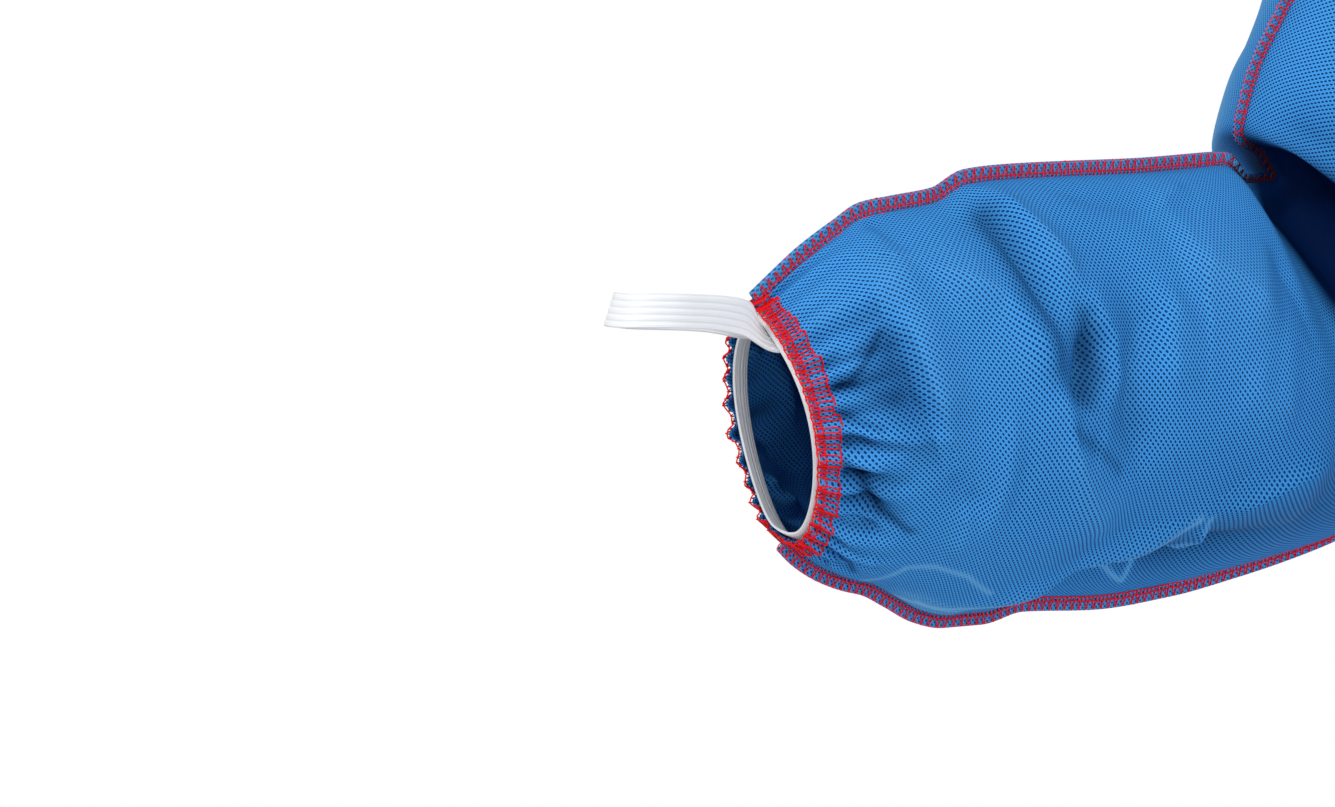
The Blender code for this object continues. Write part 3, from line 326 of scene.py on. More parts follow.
# Height of each crease in metres, its width on the side of the seam over the thumb and on the other, and
# its line from the cuff: metres from the rim and share of the way from the thumb's seam to the elbow's
FRONT_CREASES = (
    # the shoulder of the bag behind the cuff, and the long edge where it turns down
    (0.0030, 0.010, 0.016, ((0.002, 0.215), (0.010, 0.212), (0.026, 0.233), (0.0444, 0.193))),
    (0.0034, 0.007, 0.016, (
        (0.0444, 0.193), (0.0584, 0.240), (0.0689, 0.268), (0.0769, 0.350), (0.0829, 0.440),
    )),
    (0.0030, 0.007, 0.018, (
        (0.0819, 0.390), (0.0859, 0.460), (0.0919, 0.535), (0.1029, 0.613), (0.1248, 0.715),
    )),
    (-0.0016, 0.006, 0.010, ((0.0385, 0.015), (0.0420, 0.100), (0.0444, 0.185))),
    # the furrow that runs down from the kink in the seam, with a ridge beside it
    (-0.0042, 0.009, 0.007, (
        (0.0769, 0.040), (0.0769, 0.138), (0.0790, 0.212), (0.0830, 0.285), (0.0870, 0.372),
    )),
    (0.0026, 0.010, 0.006, ((0.0830, 0.050), (0.0880, 0.145), (0.0960, 0.233), (0.1010, 0.300))),
    # the dent below the furrow and the rolls round it
    (-0.0046, 0.006, 0.006, ((0.1004, 0.330), (0.0985, 0.380), (0.0940, 0.430), (0.0910, 0.470))),
    (0.0022, 0.006, 0.007, (
        (0.0954, 0.312), (0.1049, 0.318), (0.1104, 0.365), (0.1104, 0.420), (0.1060, 0.480),
    )),
    (-0.0020, 0.004, 0.005, ((0.0884, 0.485), (0.0950, 0.500), (0.1040, 0.525))),
    # the valley between the two bags and the top of the second one
    (-0.0042, 0.016, 0.012, (
        (0.1400, 0.300), (0.1240, 0.350), (0.1170, 0.400), (0.1150, 0.470), (0.1250, 0.600),
    )),
    (0.0036, 0.014, 0.020, ((0.1440, 0.262), (0.1560, 0.258), (0.1720, 0.300), (0.1900, 0.370))),
    (0.0022, 0.012, 0.012, ((0.1420, 0.280), (0.1350, 0.360), (0.1340, 0.460))),
    # the lower edge of the bags, from which the spare cloth hangs to the seam
    (0.0036, 0.018, 0.005, (
        (0.0700, 0.850), (0.0914, 0.790), (0.1154, 0.765), (0.1398, 0.710), (0.1600, 0.640),
    )),
    (0.0034, 0.034, 0.004, ((0.1613, 0.650), (0.1763, 0.636), (0.1933, 0.605), (0.2162, 0.590))),
    (-0.0075, 0.014, 0.020, (
        (0.0860, 0.900), (0.1100, 0.860), (0.1400, 0.830), (0.1650, 0.800), (0.2100, 0.740),
    )),
    (0.0030, 0.004, 0.004, ((0.1620, 0.670), (0.1660, 0.730), (0.1640, 0.800))),
    # the three-cornered hollow behind the middle of the cuff
    (-0.0042, 0.012, 0.0030, ((0.0275, 0.280), (0.0272, 0.350), (0.0290, 0.425), (0.0330, 0.485))),
    (0.0030, 0.0026, 0.010, ((0.0315, 0.262), (0.0330, 0.352), (0.0352, 0.425), (0.0395, 0.500))),
    (0.0026, 0.009, 0.008, ((0.0120, 0.300), (0.0160, 0.330), (0.0130, 0.365))),
    (0.0026, 0.004, 0.005, ((0.0085, 0.452), (0.0150, 0.478), (0.0260, 0.500), (0.0380, 0.500))),
    # channels between the gathers below it
    (-0.0034, 0.004, 0.004, (
        (0.0080, 0.548), (0.0130, 0.585), (0.0150, 0.630), (0.0210, 0.670), (0.0310, 0.700),
    )),
    (-0.0024, 0.003, 0.003, ((0.0100, 0.636), (0.0140, 0.652), (0.0190, 0.675))),
    (-0.0020, 0.0024, 0.0030, ((0.0060, 0.372), (0.0125, 0.368), (0.0180, 0.338))),
    (-0.0018, 0.0024, 0.0024, ((0.0060, 0.427), (0.0105, 0.450), (0.0180, 0.468))),
    (-0.0018, 0.0020, 0.0024, ((0.0060, 0.492), (0.0100, 0.487), (0.0155, 0.495))),
    (0.0016, 0.0030, 0.0030, ((0.0070, 0.510), (0.0120, 0.530), (0.0200, 0.560))),
    (-0.0022, 0.0024, 0.0024, ((0.0080, 0.700), (0.0105, 0.690), (0.0140, 0.692), (0.0220, 0.720))),
    (-0.0026, 0.003, 0.003, ((0.0045, 0.795), (0.0080, 0.815), (0.0125, 0.835), (0.0220, 0.890))),
    (-0.0020, 0.0024, 0.0024, ((0.0030, 0.885), (0.0070, 0.892), (0.0130, 0.930))),
    (0.0020, 0.005, 0.004, ((0.0070, 0.750), (0.0150, 0.770), (0.0280, 0.790))),
    # faint creases in the first bag
    (0.0008, 0.004, 0.006, (
        (0.0560, 0.420), (0.0640, 0.445), (0.0634, 0.540), (0.0609, 0.620), (0.0550, 0.690),
    )),
    (-0.0008, 0.004, 0.004, ((0.0700, 0.500), (0.0690, 0.570), (0.0660, 0.640))),
    (0.0010, 0.005, 0.004, ((0.0480, 0.600), (0.0520, 0.660), (0.0500, 0.740))),
    (-0.0012, 0.006, 0.006, ((0.0400, 0.560), (0.0470, 0.600), (0.0560, 0.590))),
    (0.0010, 0.006, 0.005, ((0.1700, 0.080), (0.1500, 0.150), (0.1380, 0.190))),
    (-0.0012, 0.008, 0.008, ((0.1050, 0.060), (0.1200, 0.120), (0.1450, 0.150), (0.1800, 0.160))),
    (-0.0014, 0.010, 0.010, ((0.1950, 0.240), (0.2050, 0.360), (0.2100, 0.460))),
    (0.0016, 0.008, 0.012, ((0.1650, 0.420), (0.1780, 0.480), (0.1950, 0.500))),
    # the deep fold in the crook, short ones beside it and down the upper arm
    (-0.0080, 0.020, 0.018, ((0.2560, 0.050), (0.2570, 0.150), (0.2600, 0.280), (0.2650, 0.420))),
    (-0.0020, 0.006, 0.008, ((0.2350, 0.080), (0.2430, 0.200), (0.2500, 0.350))),
    (0.0020, 0.010, 0.008, ((0.2600, 0.100), (0.2650, 0.260), (0.2680, 0.420))),
    (-0.0028, 0.008, 0.010, ((0.2900, 0.060), (0.2960, 0.220), (0.3080, 0.400))),
    (-0.0024, 0.010, 0.010, ((0.3300, 0.500), (0.3160, 0.650), (0.2950, 0.780))),
    (0.0030, 0.012, 0.010, ((0.3400, 0.150), (0.3500, 0.300), (0.3560, 0.480))),
)
# Painted shade where folds shut the light out, and painted light (a negative amount) where thin edges
# let it through: profile, amount, widths and line
FRONT_SHADES = (
    (6.0, 1.0, 0.030, 0.029, (
        (0.2555, -0.05), (0.2555, 0.10), (0.2575, 0.20), (0.2630, 0.32), (0.2680, 0.42),
    )),
    (3.0, 0.26, 0.011, 0.0026, ((0.0262, 0.285), (0.0262, 0.350), (0.0285, 0.425), (0.0325, 0.480))),
    (2.0, 0.42, 0.006, 0.007, (
        (0.0770, 0.120), (0.0772, 0.225), (0.0785, 0.283), (0.0820, 0.340), (0.0840, 0.388),
    )),
    (2.0, 0.45, 0.005, 0.004, ((0.0984, 0.330), (0.1015, 0.370), (0.1020, 0.410), (0.0975, 0.445))),
    (2.0, 0.30, 0.002, 0.002, ((0.0884, 0.485), (0.1009, 0.517), (0.1124, 0.560))),
    (2.0, 0.50, 0.0016, 0.0022, (
        (0.0070, 0.535), (0.0120, 0.573), (0.0145, 0.620), (0.0200, 0.670), (0.0310, 0.695),
    )),
    (2.0, 0.40, 0.0014, 0.0014, ((0.0060, 0.372), (0.0125, 0.368), (0.0180, 0.338), (0.0240, 0.295))),
    (2.0, 0.30, 0.0012, 0.0014, ((0.0065, 0.427), (0.0105, 0.450), (0.0180, 0.468))),
    (2.0, 0.40, 0.0014, 0.0014, ((0.0065, 0.492), (0.0100, 0.487), (0.0155, 0.495))),
    (2.0, 0.40, 0.0012, 0.0016, ((0.0055, 0.800), (0.0125, 0.835), (0.0220, 0.900))),
    (2.0, 0.30, 0.0012, 0.0012, ((0.0040, 0.885), (0.0070, 0.892), (0.0130, 0.930))),
    (2.0, 0.20, 0.0030, 0.0030, ((0.0100, 0.375), (0.0165, 0.395), (0.0235, 0.420))),
    (3.0, -0.40, 0.012, 0.010, ((0.0550, 0.930), (0.0800, 0.890), (0.1100, 0.860), (0.1400, 0.800))),
    (2.0, -0.90, 0.0015, 0.0015, ((0.0560, 0.920), (0.0850, 0.885), (0.1100, 0.870), (0.1400, 0.820))),
    (2.0, -0.80, 0.0014, 0.0018, (
        (0.0500, 0.970), (0.0700, 0.865), (0.0914, 0.805), (0.1154, 0.780), (0.1398, 0.725), (0.1580, 0.660),
    )),
    (2.0, -0.60, 0.0013, 0.0013, (
        (0.0295, 0.930), (0.0365, 0.800), (0.0464, 0.765), (0.0609, 0.755), (0.0750, 0.790),
    )),
    (2.0, -0.80, 0.0013, 0.0013, (
        (0.1224, 0.758), (0.1400, 0.840), (0.1560, 0.900), (0.1570, 0.820), (0.1478, 0.723),
    )),
    (2.0, -0.80, 0.0014, 0.0014, ((0.1630, 0.660), (0.1660, 0.710), (0.1620, 0.780), (0.1480, 0.830))),
    (3.0, 0.30, 0.026, 0.022, ((0.1748, 0.743), (0.1883, 0.718), (0.2072, 0.705), (0.2400, 0.700))),
)
# painted shade in the crook beside the seam, and painted light along the back half's outline on the upper arm
BACK_SHADES = (
    (4.0, 1.0, 0.026, 0.024, ((0.2555, -0.05), (0.2555, 0.06))),
    (2.0, -0.80, 0.018, 0.020, ((0.2660, 0.230), (0.2900, 0.215), (0.3560, 0.220))),
)
BACK_CREASES = (
    (0.0034, 0.010, 0.016, ((0.0060, 0.240), (0.0220, 0.300), (0.0400, 0.260), (0.0560, 0.330))),
    (-0.0040, 0.010, 0.008, ((0.0600, 0.060), (0.0660, 0.180), (0.0720, 0.300), (0.0700, 0.420))),
    (0.0030, 0.010, 0.014, ((0.0760, 0.120), (0.0860, 0.280), (0.0900, 0.440), (0.0980, 0.600))),
    (-0.0034, 0.006, 0.008, ((0.0200, 0.420), (0.0300, 0.500), (0.0360, 0.600))),
    (0.0026, 0.007, 0.006, ((0.0120, 0.560), (0.0240, 0.640), (0.0400, 0.700))),
    (-0.0030, 0.004, 0.004, ((0.0080, 0.680), (0.0160, 0.720), (0.0280, 0.760))),
    (-0.0026, 0.004, 0.003, ((0.0070, 0.360), (0.0140, 0.400), (0.0200, 0.390))),
    (-0.0044, 0.014, 0.012, ((0.1100, 0.200), (0.1220, 0.360), (0.1240, 0.500), (0.1360, 0.680))),
    (0.0034, 0.016, 0.014, ((0.1440, 0.180), (0.1600, 0.320), (0.1740, 0.500), (0.1700, 0.640))),
    (-0.0036, 0.012, 0.010, ((0.1980, 0.180), (0.2060, 0.320), (0.2040, 0.500), (0.2120, 0.660))),
    (0.0034, 0.010, 0.012, ((0.2240, 0.200), (0.2340, 0.400), (0.2420, 0.600))),
    (-0.0040, 0.008, 0.012, ((0.2560, 0.120), (0.2660, 0.360), (0.2600, 0.560), (0.2520, 0.760))),
    (0.0028, 0.008, 0.008, ((0.0860, 0.700), (0.1060, 0.760), (0.1340, 0.760))),
    (-0.0024, 0.008, 0.008, ((0.1500, 0.760), (0.1760, 0.800), (0.2000, 0.780))),
    (0.0030, 0.012, 0.010, ((0.2860, 0.260), (0.3000, 0.420), (0.3040, 0.600))),
    (-0.0030, 0.010, 0.012, ((0.3200, 0.140), (0.3300, 0.320), (0.3440, 0.460))),
)


def unit(vectors):
    vectors = np.asarray(vectors, dtype=float)
    return vectors / np.linalg.norm(vectors, axis=-1, keepdims=True)


def ease(t):
    t = np.clip(t, 0.0, 1.0)
    return t * t * (3.0 - 2.0 * t)


def run_along(points):
    """How far along a line each of its points lies."""
    return np.concatenate([[0.0], np.cumsum(np.linalg.norm(np.diff(points, axis=0), axis=1))])


def on_line(at, run, points):
    """Points of a line whose own points lie at run."""
    return np.stack([np.interp(at, run, points[:, k]) for k in range(3)], axis=-1)


def follow(places, values, at):
    """Values of a table at one place, on a smooth curve that doesn't overshoot its rows."""
    places = np.asarray(places, dtype=float)
    values = np.asarray(values, dtype=float)
    stride = np.diff(places)[:, None]
    slope = np.diff(values, axis=0) / stride
    product = slope[1:] * slope[:-1]
    total = slope[1:] + slope[:-1]
    inner = np.where(product > 0, 2 * product / np.where(total == 0, 1.0, total), 0.0)
    tangent = np.vstack([slope[:1], inner, slope[-1:]])
    k = int(np.clip(np.searchsorted(places, at, side="right") - 1, 0, len(places) - 2))
    width = stride[k, 0]
    t = (at - places[k]) / width
    return (
        (2 * t**3 - 3 * t**2 + 1) * values[k]
        + (t**3 - 2 * t**2 + t) * width * tangent[k]
        + (3 * t**2 - 2 * t**3) * values[k + 1]
        + (t**3 - t**2) * width * tangent[k + 1]
    )


def crease_height(creases, girth, along, across, power=1.3, ends=0.25):
    """Height of listed creases at points of a flat panel. Each crease is a line of points with a height,
    and a width for each of its two sides; a trough is negative. Its ends fade out."""
    height = np.zeros(along.shape)
    for lift, left, right, line in creases:
        line = np.array(line) * (1.0, girth)
        steps = np.hypot(*np.diff(line, axis=0).T)
        total = steps.sum()
        start = np.concatenate([[0.0], np.cumsum(steps)])
        nearest = np.full(along.shape, 1e9)
        value = np.zeros(along.shape)
        for k, length in enumerate(steps):
            run = (line[k + 1] - line[k]) / length
            forward = (along - line[k, 0]) * run[0] + (across - line[k, 1]) * run[1]
            aside = (across - line[k, 1]) * run[0] - (along - line[k, 0]) * run[1]
            held = np.clip(forward, 0.0, length)
            away = np.hypot(aside, forward - held)
            width = np.where(aside > 0, left, right)
            share = (start[k] + held) / total
            fade = ends + (1 - ends) * ease(np.minimum(share, 1 - share) / 0.3)
            here = lift * fade * np.exp(-((away / width) ** power))
            closer = away < nearest
            nearest = np.where(closer, away, nearest)
            value = np.where(closer, here, value)
        height += value
    return height


def fold_shade(height, deepest, ridge_light):
    """Painted shade in the troughs of creases and painted light on their ridges, in full at a height of
    deepest.
    """
    return np.clip(-height / deepest, 0, 1) * FOLD_SHADE - np.clip(height / deepest, 0, 1) * ridge_light


def flat_places(across, along):
    """A UV map in metres."""
    return np.stack(np.broadcast_arrays(across, along), axis=-1)


def grid_object(name, points, uv, outside, surface, depth=None):
    """A smooth sheet through a grid of points, its faces to the outside, with a UV map in metres and, if
    given, the painted shade of each point of its folds, with painted light below zero, in a depth attribute."""
    rows, columns = points.shape[:2]
    index = np.arange(rows * columns).reshape(rows, columns)
    quads = np.stack([index[:-1, :-1], index[:-1, 1:], index[1:, 1:], index[1:, :-1]], axis=-1).reshape(-1, 4)
    middle = points[rows // 2, columns // 2]
    across = points[rows // 2, columns // 2 + 1] - middle
    down = points[rows // 2 + 1, columns // 2] - middle
    if np.dot(np.cross(across, down), outside) < 0:
        quads = quads[:, ::-1]
    mesh = bpy.data.meshes.new(name)
    mesh.from_pydata(points.reshape(-1, 3).tolist(), [], quads.tolist())
    layer = mesh.uv_layers.new(name="cloth")
    layer.data.foreach_set("uv", uv.reshape(-1, 2)[quads.ravel()].ravel())
    if depth is not None:
        mesh.attributes.new("depth", "FLOAT", "POINT").data.foreach_set("value", depth.ravel())
    mesh.polygons.foreach_set("use_smooth", np.ones(len(quads), dtype=bool))
    mesh.materials.append(surface)
    made = bpy.data.objects.new(name, mesh)
    scene.collection.objects.link(made)
    return made


def give_wall(piece, wall):
    solid = piece.modifiers.new("wall", "SOLIDIFY")
    solid.thickness = wall
    solid.offset = -1.0
    solid.use_even_offset = False


def stand_for(piece, node):
    """The piece moves with the coverall and is shown for a solid."""
    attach(piece, "coverall")
    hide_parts(node)


def finish_cloth(piece, node):
    give_wall(piece, CLOTH_WALL)
    stand_for(piece, node)


class Sleeve:
    """Sections across an arm that bends in one plane, from the cuff's rim upwards."""

    def __init__(self, wrist, elbow, upper, sections):
        self.wrist = np.array(wrist)
        self.along = unit(np.array(elbow) - self.wrist)
        upper = unit(upper)
        self.up = unit(upper - np.dot(upper, self.along) * self.along)
        self.front = np.cross(self.along, self.up)
        self.upper = upper
        self.sections = np.array(sections)
        middle = (self.sections[:, 0:2] + self.sections[:, 2:4]) / 2
        self.places = np.concatenate([[0.0], np.cumsum(np.hypot(*np.diff(middle, axis=0).T))])

    def row(self, place):
        return follow(self.places, self.sections, place)

    def world(self, along, up, out):
        return (
            self.wrist
            + np.multiply.outer(along, self.along)
            + np.multiply.outer(up, self.up)
            + np.multiply.outer(out, self.front)
        )

    def point(self, place, shares, half, inset=0.0):
        values = self.row(place)
        crook, elbow = values[0:2], values[2:4]
        depth = (values[4] if half > 0 else values[5]) - inset
        chord = np.hypot(*(elbow - crook))
        down = 0.5 - 0.5 * np.cos(math.pi * shares) * (1 - 2 * inset / chord)
        power = values[6] + (values[7] - values[6]) * shares
        out = depth * np.sin(math.pi * np.clip(shares, 0.0, 1.0)) ** power
        gap = SEAM_GAP / 2 if inset == 0 else 0.0
        across = crook + (elbow - crook) * np.reshape(down, (-1, 1))
        return self.world(across[:, 0], across[:, 1], half * (gap + out))

    def normal(self, place, shares, half):
        forward = self.point(place + 0.0015, shares, half) - self.point(place - 0.0015, shares, half)
        low = np.clip(shares - 0.01, 0.0, 1.0)
        high = np.clip(shares + 0.01, 0.0, 1.0)
        across = self.point(place, high, half) - self.point(place, low, half)
        out = unit(np.cross(forward, across))
        return out * np.sign(np.dot(out[len(out) // 2], half * self.front))

    def lip(self, place, seam):
        """The way in which a seam's lips stand, and their height."""
        column = 0 if seam == "crook" else 2
        low = self.row(max(place - 0.004, 0.0))
        high = self.row(min(place + 0.004, self.places[-1]))
        run = high[column:column + 2] - low[column:column + 2]
        out = unit(np.array([-run[1], run[0]])) * (1 if seam == "crook" else -1)
        return out[0] * self.along + out[1] * self.up, self.row(place)[8]


right_arm = Sleeve(RIGHT_WRIST, RIGHT_ELBOW, RIGHT_UPPER, RIGHT_SECTIONS)


def armhole(half, count):
    """The right armhole from the shoulder's tip to the underarm: points and the way the lips stand."""
    turn = math.pi * (1.0 - np.linspace(0.0, 1.0, count + 1))
    share = (1 - np.cos(turn)) / 2
    points = np.array(UNDERARM) + (np.array(SHOULDER_TIP) - np.array(UNDERARM)) * share[:, None]
    points[:, 0] += ARMHOLE_HOLLOW * np.sin(turn) ** 2
    points[:, 1] -= half * ARMHOLE_DEPTH * np.sin(turn)
    aside = 0.25 + 0.1 * share**2 + 0.45 * (1 - share) ** 2
    return points, unit(np.stack([-aside, -half * 1.1 * np.sin(turn), -0.85 * np.cos(turn)], axis=1))


def seam_side(points, stand, toward):
    """Unit vectors from a seam into the panel that lies on the side of toward."""
    into = unit(np.cross(np.gradient(points, axis=0), stand))
    into[0] = into[0] if np.isfinite(into[0]).all() else into[1]
    return into * np.sign(np.einsum("ij,ij->i", into, np.broadcast_to(toward, into.shape)))[:, None]


def edged(first, line, last, count):
    """A row with its two lips: count steps from each end of the line out to the lips' rims."""
    steps = np.linspace(0.0, 1.0, count + 1)[1:, None]
    before = line[0] + (first - line[0]) * steps
    after = line[-1] + (last - line[-1]) * steps
    return np.vstack([before[::-1], line, after])


def sleeve_head(arm, half, top, shares):
    """Rows from a sleeve's last section to the armhole, and over the armhole's lip."""
    hole, stand = armhole(half, ARMHOLE_STEPS)
    hole = hole + seam_side(hole, stand, (-1.0, 0.0, 0.0)) * SEAM_GAP / 2
    hole[[0, -1], 1] -= half * SEAM_GAP / 2
    at = np.linspace(0.0, 1.0, ARMHOLE_STEPS + 1)
    start = on_line(shares, at, hole)
    stand = unit(on_line(shares, at, stand))
    across = top - start
    reach = np.linalg.norm(across, axis=1, keepdims=True)
    leave = unit(across / reach + np.outer(1 - shares, LEAVE_TIP) + np.outer(shares, LEAVE_UNDERARM))
    rows = []
    for t in np.linspace(1.0, 0.0, HEAD_ROWS + 1)[1:]:
        line = (
            (2 * t**3 - 3 * t**2 + 1) * start
            + (t**3 - 2 * t**2 + t) * reach * leave
            + (3 * t**2 - 2 * t**3) * top
            - (t**3 - t**2) * reach * arm.upper
        )
        down = unit(line[-1] - line[0])
        early = (1 - t) ** 3
        first = line[0] + unit(early * stand[0] - (1 - early) * down) * LIP
        last = line[-1] + unit(early * stand[-1] + (1 - early) * down) * LIP
        rows.append(edged(first, line, last, LIP_STEPS))
    for share in (0.33, 0.66, 1.0):
        line = start + stand * LIP * share
        rows.append(edged(start[0] + stand[0] * LIP, line, start[-1] + stand[-1] * LIP, LIP_STEPS))
    return rows


def sleeve_half(node, arm, half, sign, creases, shades, strength, places, columns, gathers, gather_height):
    """Half a sleeve: lip, panel and lip in each row, with creases and gathers. Gives the function that finds
    its points."""
    even = np.linspace(0.0, 1.0, columns)
    shares = 0.5 - 0.5 * np.cos(math.pi * even) * CLOSER_BY_SEAMS - (1 - CLOSER_BY_SEAMS) * (0.5 - even)
    shares = (shares - shares[0]) / (shares[-1] - shares[0])
    along, across = np.meshgrid(places, shares * SLEEVE_GIRTH, indexing="ij")
    height = crease_height(creases, SLEEVE_GIRTH, along, across) * strength
    # painted shade in the creases' troughs and painted light on their ridges, then the painted shade and
    # light of the shades
    depth = fold_shade(height, SLEEVE_DEEPEST, SLEEVE_RIDGE_LIGHT)
    for power, *shade in shades:
        depth += crease_height([shade], SLEEVE_GIRTH, along, across, power, 1.0)
    edge = ease(np.minimum(shares, 1 - shares) / 0.06)
    uneven = sum(size * np.sin(pace * shares) for size, pace in GATHER_UNEVEN)
    wave = np.cos(math.pi * gathers * shares + uneven)
    ripple = np.sign(wave) * np.abs(wave) ** 0.8
    # the gathers are deepest below the middle of the cuff
    below = 0.45 + 0.75 * ease((shares - 0.25) / 0.2) * ease((0.95 - shares) / 0.2)
    rows = []
    for k, place in enumerate(places):
        fade = ease((GATHERED - place) / 0.030) * (0.82 + 0.35 * np.sin(23.0 * shares + 1.0)) * below
        # painted shade in the troughs of the gathers
        depth[k] += GATHER_SHADE * fade * ease((place - 0.005) / 0.003) * np.clip(-ripple - 0.3, 0, 1) * edge
        lift = (height[k] + gather_height * fade * ripple) * edge
        # beside the rim no trough reaches the elastic
        lift = np.maximum(lift, -0.0006 - 0.03 * ease((place - 0.004) / 0.02))
        line = arm.point(place, shares, half) + arm.normal(place, shares, half) * (SLEEVE_OUT + lift)[:, None]
        lips = []
        for seam, end in (("crook", 0), ("elbow", -1)):
            way, tall = arm.lip(place, seam)
            steps = np.linspace(0, 1, LIP_STEPS + 1)[1:, None] * tall
            lips.append(line[end] + way * steps + half * arm.front * LIP_APART)
        rows.append(np.vstack([lips[0][::-1], line, lips[1]]))
    bare = arm.point(places[-1], shares, half) + arm.normal(places[-1], shares, half) * SLEEVE_OUT
    head_rows = sleeve_head(arm, half, bare, shares)
    points = np.array(rows + head_rows) * (sign, 1.0, 1.0)
    beyond = places[-1] + run_along(points[len(rows) - 1:, points.shape[1] // 2])[1:]
    lip = np.linspace(0.0, LIP, LIP_STEPS + 1)[1:]
    flat = np.concatenate([-lip[::-1], shares * SLEEVE_GIRTH, SLEEVE_GIRTH + lip])
    uv = flat_places(flat[None], np.concatenate([places, beyond])[:, None])
    # the lips get painted light, less where painted shade already lies
    lit = 1.0 - np.clip(depth, 0.0, 1.0)
    crook_lip = np.repeat((depth - CROOK_LIP_LIGHT * lit)[:, :1], LIP_STEPS, axis=1)
    elbow_lip = np.repeat((depth - ELBOW_LIP_LIGHT * lit)[:, -1:], LIP_STEPS, axis=1)
    depth = np.hstack([crook_lip, depth, elbow_lip])
    depth = np.vstack([depth, np.repeat(depth[-1:], len(head_rows), axis=0)])
    made = grid_object("cloth_" + node, points, uv, half * arm.front * (sign, 1.0, 1.0), cloth_blue, depth)
    finish_cloth(made, node)

    def at(place, share, lift):
        """A point above the panel at a place along the arm and a share of the way between the seams."""
        i = np.clip(np.searchsorted(places, place, side="right") - 1, 0, len(places) - 2)
        j = np.clip(np.searchsorted(shares, share, side="right") - 1, 0, len(shares) - 2)
        t = (place - places[i]) / (places[i + 1] - places[i])
        u = (share - shares[j]) / (shares[j + 1] - shares[j])
        j = j + LIP_STEPS
        low = points[i, j] * (1 - u) + points[i, j + 1] * u
        high = points[i + 1, j] * (1 - u) + points[i + 1, j + 1] * u
        out = arm.normal(max(place, 0.002), np.array([share, share]), half)[0] * (sign, 1.0, 1.0)
        return low * (1 - t) + high * t + out * lift

    return at


def spaced(*runs):
    """Places that step evenly within each run of (end, step)."""
    out = [0.0]
    for end, stride in runs:
        count = max(1, round((end - out[-1]) / stride))
        out += list(np.linspace(out[-1], end, count + 1)[1:])
    return np.array(out)


right_places = spaced((0.045, 0.0009), (0.225, 0.0014), (float(right_arm.places[-1]), 0.003))
on_right_front = sleeve_half(
    "sleeve_right_front", right_arm, 1.0, 1.0, FRONT_CREASES, FRONT_SHADES, strength=1.8,
    places=right_places, columns=170, gathers=33, gather_height=0.0025,
)
on_right_back = sleeve_half(
    "sleeve_right_back", right_arm, -1.0, 1.0, BACK_CREASES, BACK_SHADES, strength=1.4,
    places=right_places, columns=120, gathers=31, gather_height=0.0018,
)


# Overlocked seams: red polyester thread. Two needles sew along the foot of the raised edge, and the
# loopers' thread goes over and under the edge between them and the rim.

THREAD_RADIUS = 0.00022
STITCH = 0.0034
NEEDLES = (0.05, 0.40)
SIDE_GAP = 0.0007
SEAM_POINTS = 240
THREAD_RED = (0.74, 0.004, 0.008)
# painted shade on the thread inside the crook
PAINTED_SHADE_RED = (0.030, 0.0005, 0.001)
# painted shade on the thread in the crook: how far from the crook it is at its darkest, and where it is red
# again
CROOK_PAINTED_SHADE = (0.016, 0.026)
CROOK = tuple(right_arm.point(0.2590, np.array([0.0]), 1.0)[0])


def thread_material():
    """Red thread, with painted shade where it runs into the crook."""
    made, tree, shader = start_material("red_thread")
    place = object_places(tree)
    twist = grain(place, 3500.0, 1.0)
    reach = make(tree, "ShaderNodeVectorMath", {"operation": "DISTANCE"}, (place, CROOK), output="Value")
    dyed = mix_colour(twist, lighter(THREAD_RED, 0.72), lighter(THREAD_RED, 1.25))
    # painted shade near the crook
    colour = mix_colour(1.0 - step(reach, *CROOK_PAINTED_SHADE), dyed, PAINTED_SHADE_RED)
    plug(shader, {"Base Color": colour, "Roughness": 0.5, "Specular IOR Level": 0.15})
    return made


def thread_tree():
    """Turns the edges of a mesh into thread."""
    tree = bpy.data.node_groups.new("sewing_thread", "GeometryNodeTree")
    names = ("Lines", "Radius", "Sides", "Thread")
    for name, kind in zip(names, ("Geometry", "Float", "Int", "Material")):
        tree.interface.new_socket(name, in_out="INPUT", socket_type="NodeSocket" + kind)
    tree.interface.new_socket("Stitches", in_out="OUTPUT", socket_type="NodeSocketGeometry")
    given = tree.nodes.new("NodeGroupInput")
    lines, radius, sides, thread = [Wire(tree, given.outputs[name]) for name in names]
    curve = make(tree, "GeometryNodeMeshToCurve", {}, {"Mesh": lines})
    circle = make(tree, "GeometryNodeCurvePrimitiveCircle", {}, {"Radius": radius, "Resolution": sides})
    tube = make(tree, "GeometryNodeCurveToMesh", {}, {
        "Curve": curve, "Profile Curve": circle, "Fill Caps": True,
    })
    smooth = make(tree, "GeometryNodeSetShadeSmooth", {}, {"Geometry": tube})
    real = make(tree, "GeometryNodeRealizeInstances", {}, {"Geometry": smooth})
    dyed = make(tree, "GeometryNodeSetMaterial", {}, {"Geometry": real, "Material": thread})
    plug(tree.nodes.new("NodeGroupOutput"), {"Stitches": dyed})
    return tree


red_thread = thread_material()
sewing_thread = thread_tree()


def set_inputs(modifier, values):
    for socket in modifier.node_group.interface.items_tree:
        if socket.in_out == "INPUT" and socket.name in values:
            modifier[socket.identifier] = values[socket.name]


